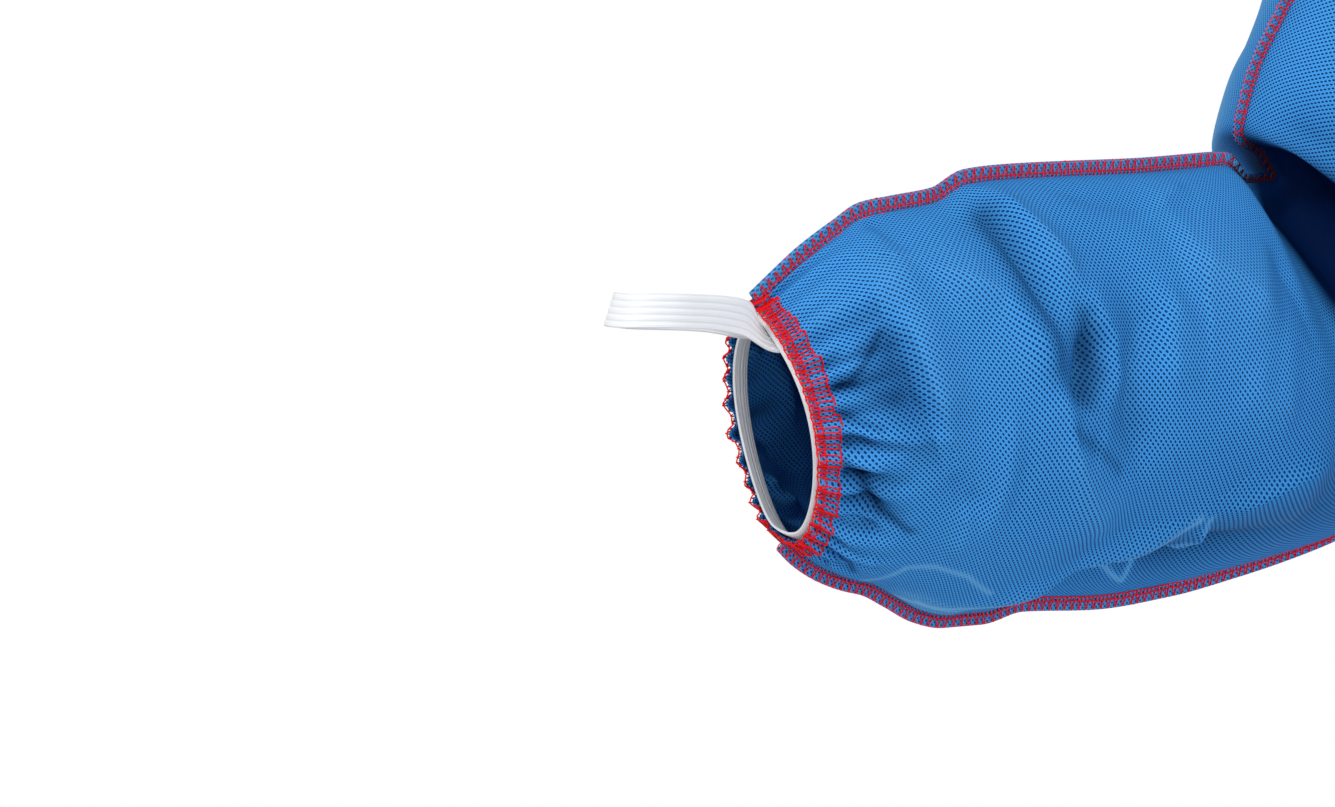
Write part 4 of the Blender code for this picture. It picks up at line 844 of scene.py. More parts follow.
def sew(name, lines, radius, sides):
    """Thread along lines of points, as one plain mesh."""
    mesh = bpy.data.meshes.new(name)
    counts = [len(line) for line in lines]
    starts = np.concatenate([[0], np.cumsum(counts)[:-1]])
    edges = [(start + k, start + k + 1) for start, count in zip(starts, counts) for k in range(count - 1)]
    mesh.from_pydata(np.vstack(lines).tolist(), np.array(edges).tolist(), [])
    path = bpy.data.objects.new(name + "_path", mesh)
    scene.collection.objects.link(path)
    nodes = path.modifiers.new("thread", "NODES")
    nodes.node_group = sewing_thread
    set_inputs(nodes, {"Radius": radius, "Sides": sides, "Thread": red_thread})
    shown = path.evaluated_get(bpy.context.evaluated_depsgraph_get())
    made = bpy.data.objects.new(name, bpy.data.meshes.new_from_object(shown))
    bpy.data.objects.remove(path, do_unlink=True)
    bpy.data.meshes.remove(mesh)
    scene.collection.objects.link(made)
    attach(made, "coverall")
    return made


def overlock(root, lip, normal, seed, fine=True):
    """Lines of thread over a raised seam: the foot of its lips, the lips from foot to rim, and the way
    that its front face looks, each along the whole seam."""
    run = run_along(root)
    count = int(run[-1] / STITCH)
    shake = np.random.default_rng(seed)
    lines = []

    def at(s, t, side):
        s = np.clip(np.atleast_1d(s) * STITCH, 0.0, run[-1])
        foot, up, out = [on_line(s, run, part) for part in (root, lip, normal)]
        return foot + up * np.reshape(t, (-1, 1)) + out * (side * (SIDE_GAP + THREAD_RADIUS * 0.8))

    def thread(side, *stops):
        lines.append(np.vstack([at(s, t, side) for s, t in stops]))

    half_steps = np.arange(0, 2 * count + 1) / 2
    for side in (1, -1):
        for needle in NEEDLES:
            lines.append(at(half_steps, needle + 0.02 * shake.standard_normal(len(half_steps)), side))
        for k in range(count):
            a, b, c = 0.05 * shake.standard_normal(3)
            thread(side, (k + 0.08 + a, 0.05), (k + a, 0.42))
            if fine:
                thread(side, (k + 0.55 + b, 0.05), (k + 0.5 + b, 0.42))
                thread(side, (k + a - 0.04, 0.36), (k + a + 0.10, 0.44))
                thread(side, (k + a, 0.40), (k + 0.1 + c, 0.75), (k + 0.22 + c, 1.03))
            else:
                thread(side, (k + a, 0.40), (k + 0.22 + c, 1.03))
            thread(side, (k + 0.5 + b, 0.40), (k + 0.28 + c, 1.03))
    if fine:
        lines.append(at(half_steps, 1.06 + 0.03 * shake.standard_normal(len(half_steps)), 0))
    else:
        lines.append(at(half_steps[::2], 1.06, 0))
    return lines


def sleeve_seam(arm, seam, seed, fine=True):
    root, lip = [], []
    for place in np.linspace(0.0, float(arm.places[-1]), SEAM_POINTS):
        way, tall = arm.lip(place, seam)
        root.append(arm.point(place, np.array([0.0 if seam == "crook" else 1.0]), 1.0)[0])
        lip.append(way * tall)
    return overlock(np.array(root), np.array(lip), np.tile(arm.front, (SEAM_POINTS, 1)), seed, fine)


sew("thread_right_crook", sleeve_seam(right_arm, "crook", 1), THREAD_RADIUS, 5)
sew("thread_right_elbow", sleeve_seam(right_arm, "elbow", 2), THREAD_RADIUS, 5)


# The right cuff: the elastic is caught inside the gathered rim by the same overlock, whose loops lie
# close together over the cloth and leave the white elastic showing along the edge.

RIM_STITCHES = 88
RIM_BAND = 0.0064
RIM_THREAD = 0.00027
RIGHT_PAST = (0.0030, 0.0010)


def rim_finder(on_front, on_back, along):
    """Finds points of a cuff: turn 0 at the thumb's seam, 0.5 at the elbow's, front side first."""

    def on_rim(turn, place, lift):
        turn = turn % 1.0
        on_half, share = (on_front, turn * 2) if turn < 0.5 else (on_back, 2 - turn * 2)
        return on_half(max(place, 0.0), share, lift) - along * max(-place, 0.0)

    return on_rim


def rim_lines(surface_at, stitches, seed, past=(0.0006, 0.0006)):
    """Overlock round a gathered edge: past is how far it goes beyond the cloth beside a seam, and between."""
    shake = np.random.default_rng(seed)
    lines = []

    def out(turn):
        low = past[0] if turn % 1.0 < 0.5 else min(past[0], 0.0006)
        return -(low + (past[1] - low) * abs(math.sin(2 * math.pi * turn)) ** 0.8)

    def thread(turn, *stops):
        points = [surface_at(turn + ahead / stitches, place, lift) for ahead, place, lift in stops]
        lines.append(np.array(points))

    edge, chain = [], []
    for k in range(stitches * 2):
        turn = k / (2 * stitches)
        edge.append(surface_at(turn, out(turn) - 0.0002 + 0.0004 * (k % 2), 0.0002))
        chain.append(surface_at(turn, 0.0014 + 0.0005 * (k % 2), 0.0004))
    for k in range(stitches):
        a, b, c = shake.standard_normal(3)
        turn = (k + 0.07 * a) / stitches
        far = RIM_BAND * (0.55 + 0.45 * ease(min(turn % 1.0, -turn % 1.0) / 0.16)) + 0.0005 * b
        rim = out(turn)
        over = (0.0, rim, 0.0003), (0.05, 0.4 * far, 0.0006), (0.05, 0.86 * far, 0.0005), (0.22, far, 0.0004)
        back = (0.42, far, 0.0004), (0.55, 0.86 * far, 0.0005), (0.45, 0.4 * far, 0.0006), (0.62, rim, 0.0003)
        thread(turn, *over, *back)
        thread(turn, (0.5, far, 0.0003), (0.8, far * (0.97 + 0.03 * c), 0.0003), (1.1, far, 0.0003))
        thread(turn, (0.62, rim, 0.0005), (0.9, 0.0020, 0.0006), (1.2, 0.0002, 0.0005))
    lines.append(np.array(edge + edge[:1]))
    lines.append(np.array(chain + chain[:1]))
    return lines


on_right_rim = rim_finder(on_right_front, on_right_back, right_arm.along)
sew("thread_right_cuff", rim_lines(on_right_rim, RIM_STITCHES, 5, RIGHT_PAST), RIM_THREAD, 5)


# Left sleeve and cuff: cut as the right one, hanging with the elbow a little bent, and sewn with the same
# thread. It is worked out as a right sleeve and mirrored.

LEFT_WRIST = (-0.445, -0.11, -0.60)
LEFT_ELBOW = (-0.362, 0.0, -0.39)
LEFT_UPPER = (0.34, 0.0, 0.94)
PLAIN_RIM_THREAD = 0.0002
# crook along, crook up, elbow along, elbow up, front, back, crook point, elbow point, lip
LEFT_SECTIONS = (
    (-0.0190, 0.0420, -0.0190, -0.0420, 0.025, 0.024, 1.1, 1.1, 0.0050),
    (-0.0120, 0.0450, -0.0120, -0.0450, 0.029, 0.027, 1.1, 1.1, 0.0050),
    (0.0000, 0.0560, 0.0000, -0.0560, 0.037, 0.034, 1.2, 1.2, 0.0050),
    (0.0250, 0.0700, 0.0250, -0.0700, 0.045, 0.041, 1.2, 1.2, 0.0050),
    (0.0800, 0.0760, 0.0850, -0.0740, 0.049, 0.045, 1.2, 1.3, 0.0050),
    (0.1400, 0.0800, 0.1600, -0.0760, 0.052, 0.049, 1.2, 1.4, 0.0050),
    (0.1950, 0.0850, 0.2300, -0.0780, 0.056, 0.053, 1.2, 1.4, 0.0050),
    (0.2350, 0.0980, 0.2900, -0.0680, 0.060, 0.057, 1.2, 1.3, 0.0050),
    (0.2850, 0.1220, 0.3500, -0.0400, 0.064, 0.061, 1.2, 1.2, 0.0050),
    (0.3100, 0.1350, 0.3820, -0.0220, 0.066, 0.063, 1.2, 1.2, 0.0050),
)
LEFT_FRONT_CREASES = (
    (-0.0045, 0.016, 0.014, ((0.052, 0.120), (0.060, 0.300), (0.068, 0.520), (0.070, 0.700))),
    (0.0040, 0.018, 0.014, ((0.092, 0.620), (0.100, 0.420), (0.110, 0.220), (0.108, 0.100))),
    (-0.0035, 0.008, 0.010, ((0.020, 0.380), (0.034, 0.440), (0.050, 0.400))),
    (0.0030, 0.008, 0.006, ((0.012, 0.620), (0.030, 0.640), (0.044, 0.720))),
    (-0.0040, 0.010, 0.014, ((0.128, 0.140), (0.140, 0.340), (0.138, 0.560))),
    (0.0036, 0.012, 0.016, ((0.160, 0.220), (0.152, 0.460), (0.146, 0.700))),
    (-0.0060, 0.014, 0.020, ((0.186, 0.200), (0.180, 0.450), (0.166, 0.780))),
    (0.0040, 0.010, 0.014, ((0.206, 0.120), (0.208, 0.340), (0.198, 0.600))),
    (-0.0050, 0.010, 0.012, ((0.226, 0.060), (0.232, 0.280), (0.222, 0.520))),
    (0.0045, 0.014, 0.016, ((0.256, 0.110), (0.250, 0.380), (0.240, 0.680))),
    (-0.0040, 0.012, 0.016, ((0.286, 0.160), (0.290, 0.420), (0.280, 0.640))),
    (0.0034, 0.014, 0.012, ((0.322, 0.240), (0.316, 0.500), (0.300, 0.760))),
    (-0.0030, 0.012, 0.014, ((0.350, 0.120), (0.352, 0.360), (0.344, 0.560))),
)
LEFT_BACK_CREASES = (
    (-0.0042, 0.012, 0.016, ((0.048, 0.300), (0.062, 0.460), (0.064, 0.700), (0.074, 0.860))),
    (0.0040, 0.018, 0.014, ((0.094, 0.160), (0.102, 0.400), (0.098, 0.640))),
    (-0.0034, 0.008, 0.008, ((0.018, 0.240), (0.032, 0.300), (0.044, 0.260))),
    (0.0030, 0.007, 0.008, ((0.014, 0.480), (0.026, 0.540), (0.042, 0.560))),
    (-0.0044, 0.016, 0.012, ((0.126, 0.300), (0.134, 0.540), (0.130, 0.800))),
    (0.0038, 0.014, 0.018, ((0.158, 0.180), (0.166, 0.420), (0.160, 0.700))),
    (-0.0055, 0.016, 0.020, ((0.190, 0.240), (0.184, 0.500), (0.170, 0.780))),
    (0.0040, 0.012, 0.014, ((0.212, 0.300), (0.216, 0.560), (0.204, 0.820))),
    (-0.0040, 0.014, 0.012, ((0.240, 0.180), (0.246, 0.420), (0.240, 0.700))),
    (0.0040, 0.016, 0.014, ((0.274, 0.140), (0.270, 0.400), (0.262, 0.640))),
    (-0.0034, 0.014, 0.014, ((0.312, 0.280), (0.308, 0.520), (0.296, 0.780))),
    (0.0030, 0.012, 0.014, ((0.340, 0.200), (0.344, 0.420), (0.338, 0.640))),
)
left_arm = Sleeve(LEFT_WRIST, LEFT_ELBOW, LEFT_UPPER, LEFT_SECTIONS)
left_places = spaced((0.04, 0.002), (float(left_arm.places[-1]), 0.004))
on_left_front = sleeve_half(
    "sleeve_left_front", left_arm, 1.0, -1.0, LEFT_FRONT_CREASES, (), strength=1.5,
    places=left_places, columns=84, gathers=27, gather_height=0.0016,
)
on_left_back = sleeve_half(
    "sleeve_left_back", left_arm, -1.0, -1.0, LEFT_BACK_CREASES, (), strength=1.5,
    places=left_places, columns=84, gathers=29, gather_height=0.0016,
)


def mirror(lines):
    return [line * (-1.0, 1.0, 1.0) for line in lines]


on_left_rim = rim_finder(on_left_front, on_left_back, left_arm.along * (-1.0, 1.0, 1.0))
sew("thread_left_crook", mirror(sleeve_seam(left_arm, "crook", 11, False)), THREAD_RADIUS, 3)
sew("thread_left_elbow", mirror(sleeve_seam(left_arm, "elbow", 12, False)), THREAD_RADIUS, 3)
sew("thread_left_cuff", rim_lines(on_left_rim, RIM_STITCHES, 13), PLAIN_RIM_THREAD, 3)


# Body: four panels from the neck to the ankles, joined down the middle, the sides and the inside legs.
# The front has the zip down to below the waist; the legs end in elastic like the cuffs.

NECK_SIDE = 0.078
NECK_FRONT = 0.095
NECK_BACK = 0.08
NECK_SHIFT = 0.01
NECK_DROP = 0.058
NECK_RISE = 0.012
NECK_STAND = (1.0, 1.0, 0.08, 0.27)
NECK_LEAN = 0.4
CHEST_BULGE = 0.008
HIP_Z = -0.63
CROTCH_RISE = 0.125
CROTCH_LIP_LESS = 0.002
SIDE_STRAIGHT_Z = -0.34
ZIP_END_Z = -0.6
ZIP_EDGE = 0.007
ZIP_FLAT = 0.0028
NECK_CELLS = 34
BODY_CELLS = 68
ARMHOLE_ROWS = 30
CROTCH_ROWS = 18
BODY_ROW = 0.0085
BODY_WIDTH = 0.3
BODY_OUT = 0.0006
LIP_OUT = 0.0003
BODY_LIP_STEPS = 2
BODY_STRENGTH = 1.7
# the crease height at which painted shade is full, and painted light on ridges and on the lips
BODY_DEEPEST = 0.014
BODY_RIDGE_LIGHT = 0.14
BODY_LIP_LIGHT = 0.15
ANKLE_GATHERS = 21
ANKLE_GATHER_HEIGHT = 0.0015
PARTING_HEIGHT = 0.045
PARTING_SHIFT = 0.004
PARTING_ROUNDS = 24
SIDES = (("right", 1.0), ("left", -1.0))
# height, half width, front depth, back depth
TORSO = (
    (-0.225, 0.215, 0.145, 0.145),
    (-0.245, 0.207, 0.145, 0.143),
    (-0.300, 0.202, 0.142, 0.138),
    (-0.430, 0.195, 0.134, 0.122),
    (-0.540, 0.212, 0.136, 0.140),
    (HIP_Z, 0.230, 0.138, 0.156),
    (HIP_Z - CROTCH_RISE, 0.236, 0.136, 0.152),
)
# height, centre line from the middle, half width, front depth, back depth
LEG = (
    (HIP_Z - CROTCH_RISE, 0.1180, 0.1180, 0.124, 0.134),
    (-0.766, 0.1230, 0.1120, 0.123, 0.132),
    (-0.790, 0.1275, 0.1060, 0.121, 0.129),
    (-0.860, 0.1300, 0.1000, 0.113, 0.118),
    (-1.000, 0.1390, 0.0910, 0.100, 0.102),
    (-1.120, 0.1470, 0.0840, 0.088, 0.096),
    (-1.250, 0.1560, 0.0790, 0.082, 0.088),
    (-1.340, 0.1620, 0.0720, 0.075, 0.080),
    (-1.372, 0.1640, 0.0560, 0.060, 0.064),
    (-1.383, 0.1648, 0.0480, 0.052, 0.055),
    (-1.390, 0.1650, 0.0470, 0.051, 0.054),
)
# Creases of the body: height, width above and below, and the line as metres down from the shoulders and
# share of the way from the middle to the side
BODY_FRONT_CREASES = (
    (-0.0060, 0.020, 0.016, ((0.10, 0.62), (0.16, 0.72), (0.21, 0.86))),
    (0.0050, 0.018, 0.016, ((0.12, 0.40), (0.19, 0.56), (0.25, 0.78))),
    (-0.0045, 0.014, 0.018, ((0.17, 0.20), (0.24, 0.38), (0.29, 0.62), (0.30, 0.84))),
    (0.0040, 0.016, 0.014, ((0.24, 0.12), (0.31, 0.30), (0.34, 0.50))),
    (-0.0060, 0.018, 0.022, ((0.36, 0.86), (0.40, 0.60), (0.44, 0.34), (0.45, 0.16))),
    (0.0055, 0.020, 0.018, ((0.42, 0.90), (0.46, 0.66), (0.50, 0.42))),
    (-0.0050, 0.014, 0.016, ((0.50, 0.88), (0.52, 0.60), (0.54, 0.36), (0.53, 0.14))),
    (0.0050, 0.018, 0.020, ((0.56, 0.16), (0.58, 0.40), (0.60, 0.70))),
    (-0.0060, 0.016, 0.016, ((0.62, 0.12), (0.64, 0.34), (0.66, 0.60), (0.66, 0.86))),
    (-0.0050, 0.012, 0.014, ((0.70, 0.10), (0.71, 0.32), (0.69, 0.58))),
    (0.0050, 0.014, 0.016, ((0.74, 0.16), (0.745, 0.40), (0.73, 0.66))),
    (-0.0045, 0.012, 0.016, ((0.78, 0.12), (0.80, 0.34), (0.79, 0.56))),
    (0.0045, 0.020, 0.018, ((0.85, 0.30), (0.90, 0.46), (0.97, 0.52))),
    (-0.0055, 0.018, 0.016, ((0.94, 0.14), (0.97, 0.38), (0.98, 0.66), (0.96, 0.86))),
    (0.0050, 0.018, 0.018, ((1.01, 0.20), (1.03, 0.46), (1.02, 0.78))),
    (-0.0045, 0.016, 0.018, ((1.08, 0.80), (1.10, 0.54), (1.11, 0.24))),
    (0.0040, 0.016, 0.014, ((1.15, 0.22), (1.18, 0.44), (1.22, 0.60))),
    (-0.0045, 0.012, 0.014, ((1.25, 0.86), (1.27, 0.58), (1.27, 0.28))),
    (0.0045, 0.014, 0.014, ((1.30, 0.16), (1.32, 0.42), (1.31, 0.74))),
    (-0.0040, 0.010, 0.010, ((1.335, 0.30), (1.35, 0.48), (1.345, 0.66))),
)
BODY_BACK_CREASES = (
    (0.0050, 0.020, 0.018, ((0.08, 0.20), (0.14, 0.40), (0.18, 0.66))),
    (-0.0060, 0.018, 0.020, ((0.13, 0.84), (0.20, 0.66), (0.26, 0.42), (0.28, 0.20))),
    (0.0050, 0.016, 0.018, ((0.22, 0.86), (0.28, 0.68), (0.34, 0.46))),
    (-0.0045, 0.016, 0.014, ((0.31, 0.12), (0.34, 0.34), (0.38, 0.52))),
    (0.0060, 0.022, 0.018, ((0.42, 0.14), (0.41, 0.42), (0.40, 0.80))),
    (-0.0065, 0.018, 0.020, ((0.46, 0.12), (0.48, 0.40), (0.50, 0.70), (0.50, 0.90))),
    (0.0050, 0.016, 0.018, ((0.53, 0.10), (0.55, 0.34), (0.57, 0.60))),
    (-0.0050, 0.018, 0.016, ((0.60, 0.90), (0.60, 0.62), (0.59, 0.34))),
    (-0.0055, 0.014, 0.016, ((0.67, 0.12), (0.68, 0.36), (0.66, 0.64), (0.65, 0.88))),
    (0.0050, 0.016, 0.014, ((0.72, 0.14), (0.73, 0.40), (0.70, 0.68))),
    (-0.0050, 0.012, 0.016, ((0.77, 0.10), (0.785, 0.34), (0.77, 0.60))),
    (0.0045, 0.018, 0.016, ((0.84, 0.70), (0.88, 0.50), (0.94, 0.40))),
    (-0.0060, 0.020, 0.016, ((0.97, 0.88), (0.99, 0.60), (1.00, 0.30), (0.99, 0.14))),
    (0.0055, 0.018, 0.018, ((1.03, 0.18), (1.05, 0.46), (1.04, 0.80))),
    (-0.0045, 0.014, 0.018, ((1.09, 0.16), (1.11, 0.44), (1.10, 0.70))),
    (0.0040, 0.016, 0.016, ((1.16, 0.76), (1.19, 0.50), (1.20, 0.24))),
    (-0.0045, 0.014, 0.012, ((1.24, 0.18), (1.26, 0.46), (1.25, 0.76))),
    (0.0045, 0.014, 0.014, ((1.30, 0.82), (1.31, 0.54), (1.32, 0.28))),
    (-0.0035, 0.010, 0.010, ((1.34, 0.24), (1.35, 0.46), (1.345, 0.70))),
)


def neckline(half):
    """From the middle to the side of the neck: points and the way the lips stand."""
    turn = np.linspace(0.0, math.pi / 2, NECK_CELLS + 1)
    edge = ZIP_EDGE if half > 0 else SEAM_GAP / 2
    across = -edge - (NECK_SIDE - edge) * np.sin(turn)
    if half > 0:
        deep = NECK_SHIFT - NECK_FRONT * np.cos(turn)
        high = -NECK_DROP * np.cos(turn) ** 1.5
    else:
        deep = NECK_SHIFT + NECK_BACK * np.cos(turn)
        high = NECK_RISE * np.cos(turn)
    side, ahead, rise, lift = NECK_STAND
    aside = side * np.sin(turn) + (NECK_LEAN * np.cos(turn) ** 4 if half > 0 else 0.0)
    stand = np.stack([-aside, -half * ahead * np.cos(turn), rise + lift * np.sin(turn)], axis=1)
    return np.stack([across, deep, high], axis=1), unit(stand)


def coons(low, high, first, last):
    """Points across a panel between four edges: low and high run from first to last."""
    u = np.linspace(0.0, 1.0, len(low))[None, :, None]
    v = np.linspace(0.0, 1.0, len(first))[:, None, None]
    return (
        (1 - v) * low[None] + v * high[None] + (1 - u) * first[:, None] + u * last[:, None]
        - (1 - u) * (1 - v) * low[0] - u * (1 - v) * low[-1] - (1 - u) * v * high[0] - u * v * high[-1]
    )


def torso_row(z, half):
    _, wide, front, back = follow([row[0] for row in TORSO[::-1]], TORSO[::-1], z)
    turn = np.linspace(0.0, math.pi / 2, BODY_CELLS + 1)
    deep = front if half > 0 else back
    shift = UNDERARM[1] * ease((z - SIDE_STRAIGHT_Z) / (UNDERARM[2] - SIDE_STRAIGHT_Z)) * np.sin(turn) ** 3
    ahead = shift - half * (SEAM_GAP / 2 + deep * np.cos(turn))
    return np.stack([-wide * np.sin(turn), ahead, z + 0 * turn], axis=1)


def leg_row(z, half, inset=0.0, count=BODY_CELLS):
    _, middle, wide, front, back = follow([row[0] for row in LEG[::-1]], LEG[::-1], min(z, LEG[0][0]))
    turn = np.linspace(0.0, math.pi, count + 1)
    deep = (front if half > 0 else back) - inset
    ahead = -half * (SEAM_GAP / 2 + deep * np.sin(turn))
    return np.stack([-middle + (wide - inset) * np.cos(turn), ahead, z + 0 * turn], axis=1)


def body_rows(half):
    """Rows of a right body panel without creases, from the neck down, with the rims of the lips beside
    each and the height down from the shoulders."""
    neck, neck_stand = neckline(half)
    neck = neck + seam_side(neck, neck_stand, (0.0, -0.3 * half, -1.0)) * SEAM_GAP / 2
    hole, hole_stand = armhole(half, ARMHOLE_ROWS)
    hole = hole + seam_side(hole, hole_stand, (1.0, 0.0, 0.0)) * SEAM_GAP / 2
    hole[[0, -1], 1] -= half * SEAM_GAP / 2
    neck[-1, 1] -= half * SEAM_GAP / 2
    steps = np.linspace(0.0, 1.0, BODY_CELLS - NECK_CELLS + 1)[1:-1, None]
    shoulder = neck[-1] * (1 - steps) + hole[0] * steps
    slope = unit([-0.37, 0.0, 0.93])
    near = ease(1 - 4 * steps)
    far = ease(4 * steps - 3)
    shoulder_stand = unit(near * neck_stand[-1] + far * hole_stand[0] + (2.0 - 1.0 * (near + far)) * slope)
    top = np.vstack([neck, shoulder, hole[0]])
    stand = np.vstack([neck_stand, shoulder_stand, hole_stand[0]])
    chest = torso_row(TORSO[0][0], half)
    edge = ZIP_EDGE if half > 0 else SEAM_GAP / 2
    chest[0, 0] = -edge
    chest[-1] = hole[-1]
    levels = np.linspace(0.0, 1.0, ARMHOLE_ROWS + 1)[:, None]
    middle = top[0] * (1 - levels) + chest[0] * levels
    middle[:, 1] -= half * CHEST_BULGE * np.sin(math.pi * levels[:, 0])
    upper = coons(top, chest, middle, hole)
    places = np.linspace(0.0, 1.0, BODY_CELLS + 1)
    rows, downs = [], []

    def add(line, first, last, down):
        rows.append((line, first, last))
        downs.append(down)

    def middle_lip(point, z):
        if half > 0 and z > ZIP_END_Z:
            return point + np.array([ZIP_FLAT, 0.0, 0.0])
        return point + np.array([0.0, -half * LIP, 0.0])

    for k, (line, way) in enumerate(zip(upper, hole_stand)):
        first = middle_lip(line[0], line[0, 2]) if half > 0 or k else top[0] + stand[0] * LIP
        add(line, first, line[-1] + way * LIP, -TORSO[0][0] * k / ARMHOLE_ROWS)
    count = round((TORSO[0][0] - HIP_Z) / BODY_ROW)
    for z in np.linspace(TORSO[0][0], HIP_Z, count + 1)[1:]:
        line = torso_row(z, half)
        line[0, 0] = -(edge if z > ZIP_END_Z else SEAM_GAP / 2)
        add(line, middle_lip(line[0], z), line[-1] + np.array([-LIP, 0.0, 0.0]), -z)
    for k in range(1, CROTCH_ROWS + 1):
        turn = math.pi / 2 * k / CROTCH_ROWS
        share = 1 - math.cos(turn)
        z = HIP_Z - CROTCH_RISE * math.sin(turn)
        outer = share + (ease(math.sin(turn)) - share) * ease(places / 0.5)[:, None]
        line = torso_row(z, half) * (1 - outer) + leg_row(z, half) * outer
        deep = TORSO[-2][2 if half > 0 else 3] * math.cos(turn)
        line[0] = (-SEAM_GAP / 2, -half * (SEAM_GAP / 2 + deep), z)
        way = np.array([0.0, -half * math.cos(turn), -math.sin(turn)])
        add(line, line[0] + way * (LIP - CROTCH_LIP_LESS * share), line[-1] + np.array([-LIP, 0.0, 0.0]), -z)
    count = round((LEG[0][0] - LEG[-1][0]) / BODY_ROW)
    for z in np.linspace(LEG[0][0], LEG[-1][0], count + 1)[1:]:
        line = leg_row(z, half)
        above = leg_row(min(z + 0.004, LEG[0][0]), half, count=1)[0]
        below = leg_row(max(z - 0.004, LEG[-1][0]), half, count=1)[0]
        way = unit([(above - below)[2], 0.0, -(above - below)[0]])
        low = ease((z - LEG[0][0]) / (LEG[3][0] - LEG[0][0]))
        tall = LIP - CROTCH_LIP_LESS * (1 - low)
        add(line, line[0] + way * tall, line[-1] + np.array([-LIP, 0.0, 0.0]), -z)
    return rows, np.array(downs), top + stand * LIP, stand


def surface_normals(points, outside):
    """The way a grid of points faces, on the side of outside."""
    normal = unit(np.cross(np.gradient(points, axis=0), np.gradient(points, axis=1)))
    middle = normal[normal.shape[0] // 2, normal.shape[1] // 2]
    return normal * np.sign(np.dot(middle, outside))


def stood_off(foot, rim, inner, out):
    """Where a lip's foot and rim lie once its cloth stands clear of the seam."""
    way = unit(rim - foot)
    into = inner - foot
    aside = into - np.dot(into, way) * way
    if np.linalg.norm(aside) < 0.3 * np.linalg.norm(into):
        return foot + out * BODY_OUT, rim + out * BODY_OUT
    aside = unit(aside) * LIP_OUT
    return foot + aside + way * BODY_OUT, rim + aside


def body_panel(node, half, sign, creases):
    rows, downs, rims, stand = body_rows(half)
    places = np.linspace(0.0, 1.0, BODY_CELLS + 1)
    base = np.array([line for line, _, _ in rows])
    outside = np.array([0.0, -half, 0.0])
    normal = surface_normals(base, outside)
    along, across = np.meshgrid(downs, places * BODY_WIDTH, indexing="ij")
    inner = ease((places - 0.05) / 0.10) * ease((1 - places) / 0.10)
    head = ease(downs / 0.05)[:, None]
    height = crease_height(creases, BODY_WIDTH, along, across) * BODY_STRENGTH * inner * head
    # painted shade in the creases' troughs, painted light on their ridges and more painted light on the lips
    depth = fold_shade(height, BODY_DEEPEST, BODY_RIDGE_LIGHT)
    lips = [np.repeat(depth[:, side] - BODY_LIP_LIGHT, BODY_LIP_STEPS, axis=1) for side in ([0], [-1])]
    depth = np.hstack([lips[0], depth, lips[1]])
    low = ease((downs[:, None] + LEG[-1][0] + 0.045) / 0.035)
    wave = np.cos(math.pi * ANKLE_GATHERS * places + 1.3 * np.sin(6 * places))
    height += ANKLE_GATHER_HEIGHT * low * wave * ease(np.minimum(places, 1 - places) / 0.05)
    line = base + normal * (BODY_OUT + height)[..., None]
    # where the legs part from the trunk the rows are evened out, so that no shelf shows
    parting = ease(1 - np.abs(downs + LEG[0][0] + PARTING_SHIFT) / PARTING_HEIGHT)[1:-1, None, None]
    parting = parting * ease(places / 0.12)[None, :, None]
    for _ in range(PARTING_ROUNDS):
        line[1:-1] += 0.5 * parting * ((line[:-2] + line[2:]) / 2 - line[1:-1])
    points = []
    for row, out, (plain, first, last) in zip(line, normal, rows):
        row[0], first = stood_off(plain[0], first, plain[2], out[0])
        row[-1], last = stood_off(plain[-1], last, plain[-3], out[-1])
        points.append(edged(first, row, last, BODY_LIP_STEPS))
    pairs = [stood_off(*foot) for foot in zip(base[0], rims, base[2], normal[0])]
    line[0] = [foot for foot, _ in pairs]
    rims = np.array([rim for _, rim in pairs])
    points[0] = edged(rims[0], line[0], rims[-1], BODY_LIP_STEPS)
    top = [edged(rims[0], rims * f + line[0] * (1 - f), rims[-1], BODY_LIP_STEPS) for f in (1.0, 0.5)]
    points = np.array(top + points) * (sign, 1.0, 1.0)
    wide = np.linalg.norm(np.diff(points, axis=1), axis=2)
    out = np.hstack([np.zeros((len(points), 1)), np.cumsum(wide, axis=1)])
    down = np.concatenate([[-LIP, -LIP / 2], run_along(line[:, BODY_CELLS // 2])])
    uv = flat_places(out - out[:, points.shape[1] // 2][:, None], down[:, None])
    depth = np.vstack([depth[:1], depth[:1], depth])
    made = grid_object("cloth_" + node, points, uv, outside * (sign, 1.0, 1.0), cloth_blue, depth)
    finish_cloth(made, node)
    return rows, stand


body = {}
for side, sign in SIDES:
    for face, half, creases in (("front", 1.0, BODY_FRONT_CREASES), ("back", -1.0, BODY_BACK_CREASES)):
        body[face, side] = body_panel(face + "_" + side, half, sign, creases)


# Hood: two halves of the same cloth, sewn together over the head and to the neck of the body, with an
# elastic edge round the face.

HOOD_MIDDLE = (0.02, 0.14)
HOOD_RISE = 0.185
HOOD_REACH = 0.135
HOOD_BULGE = 0.06
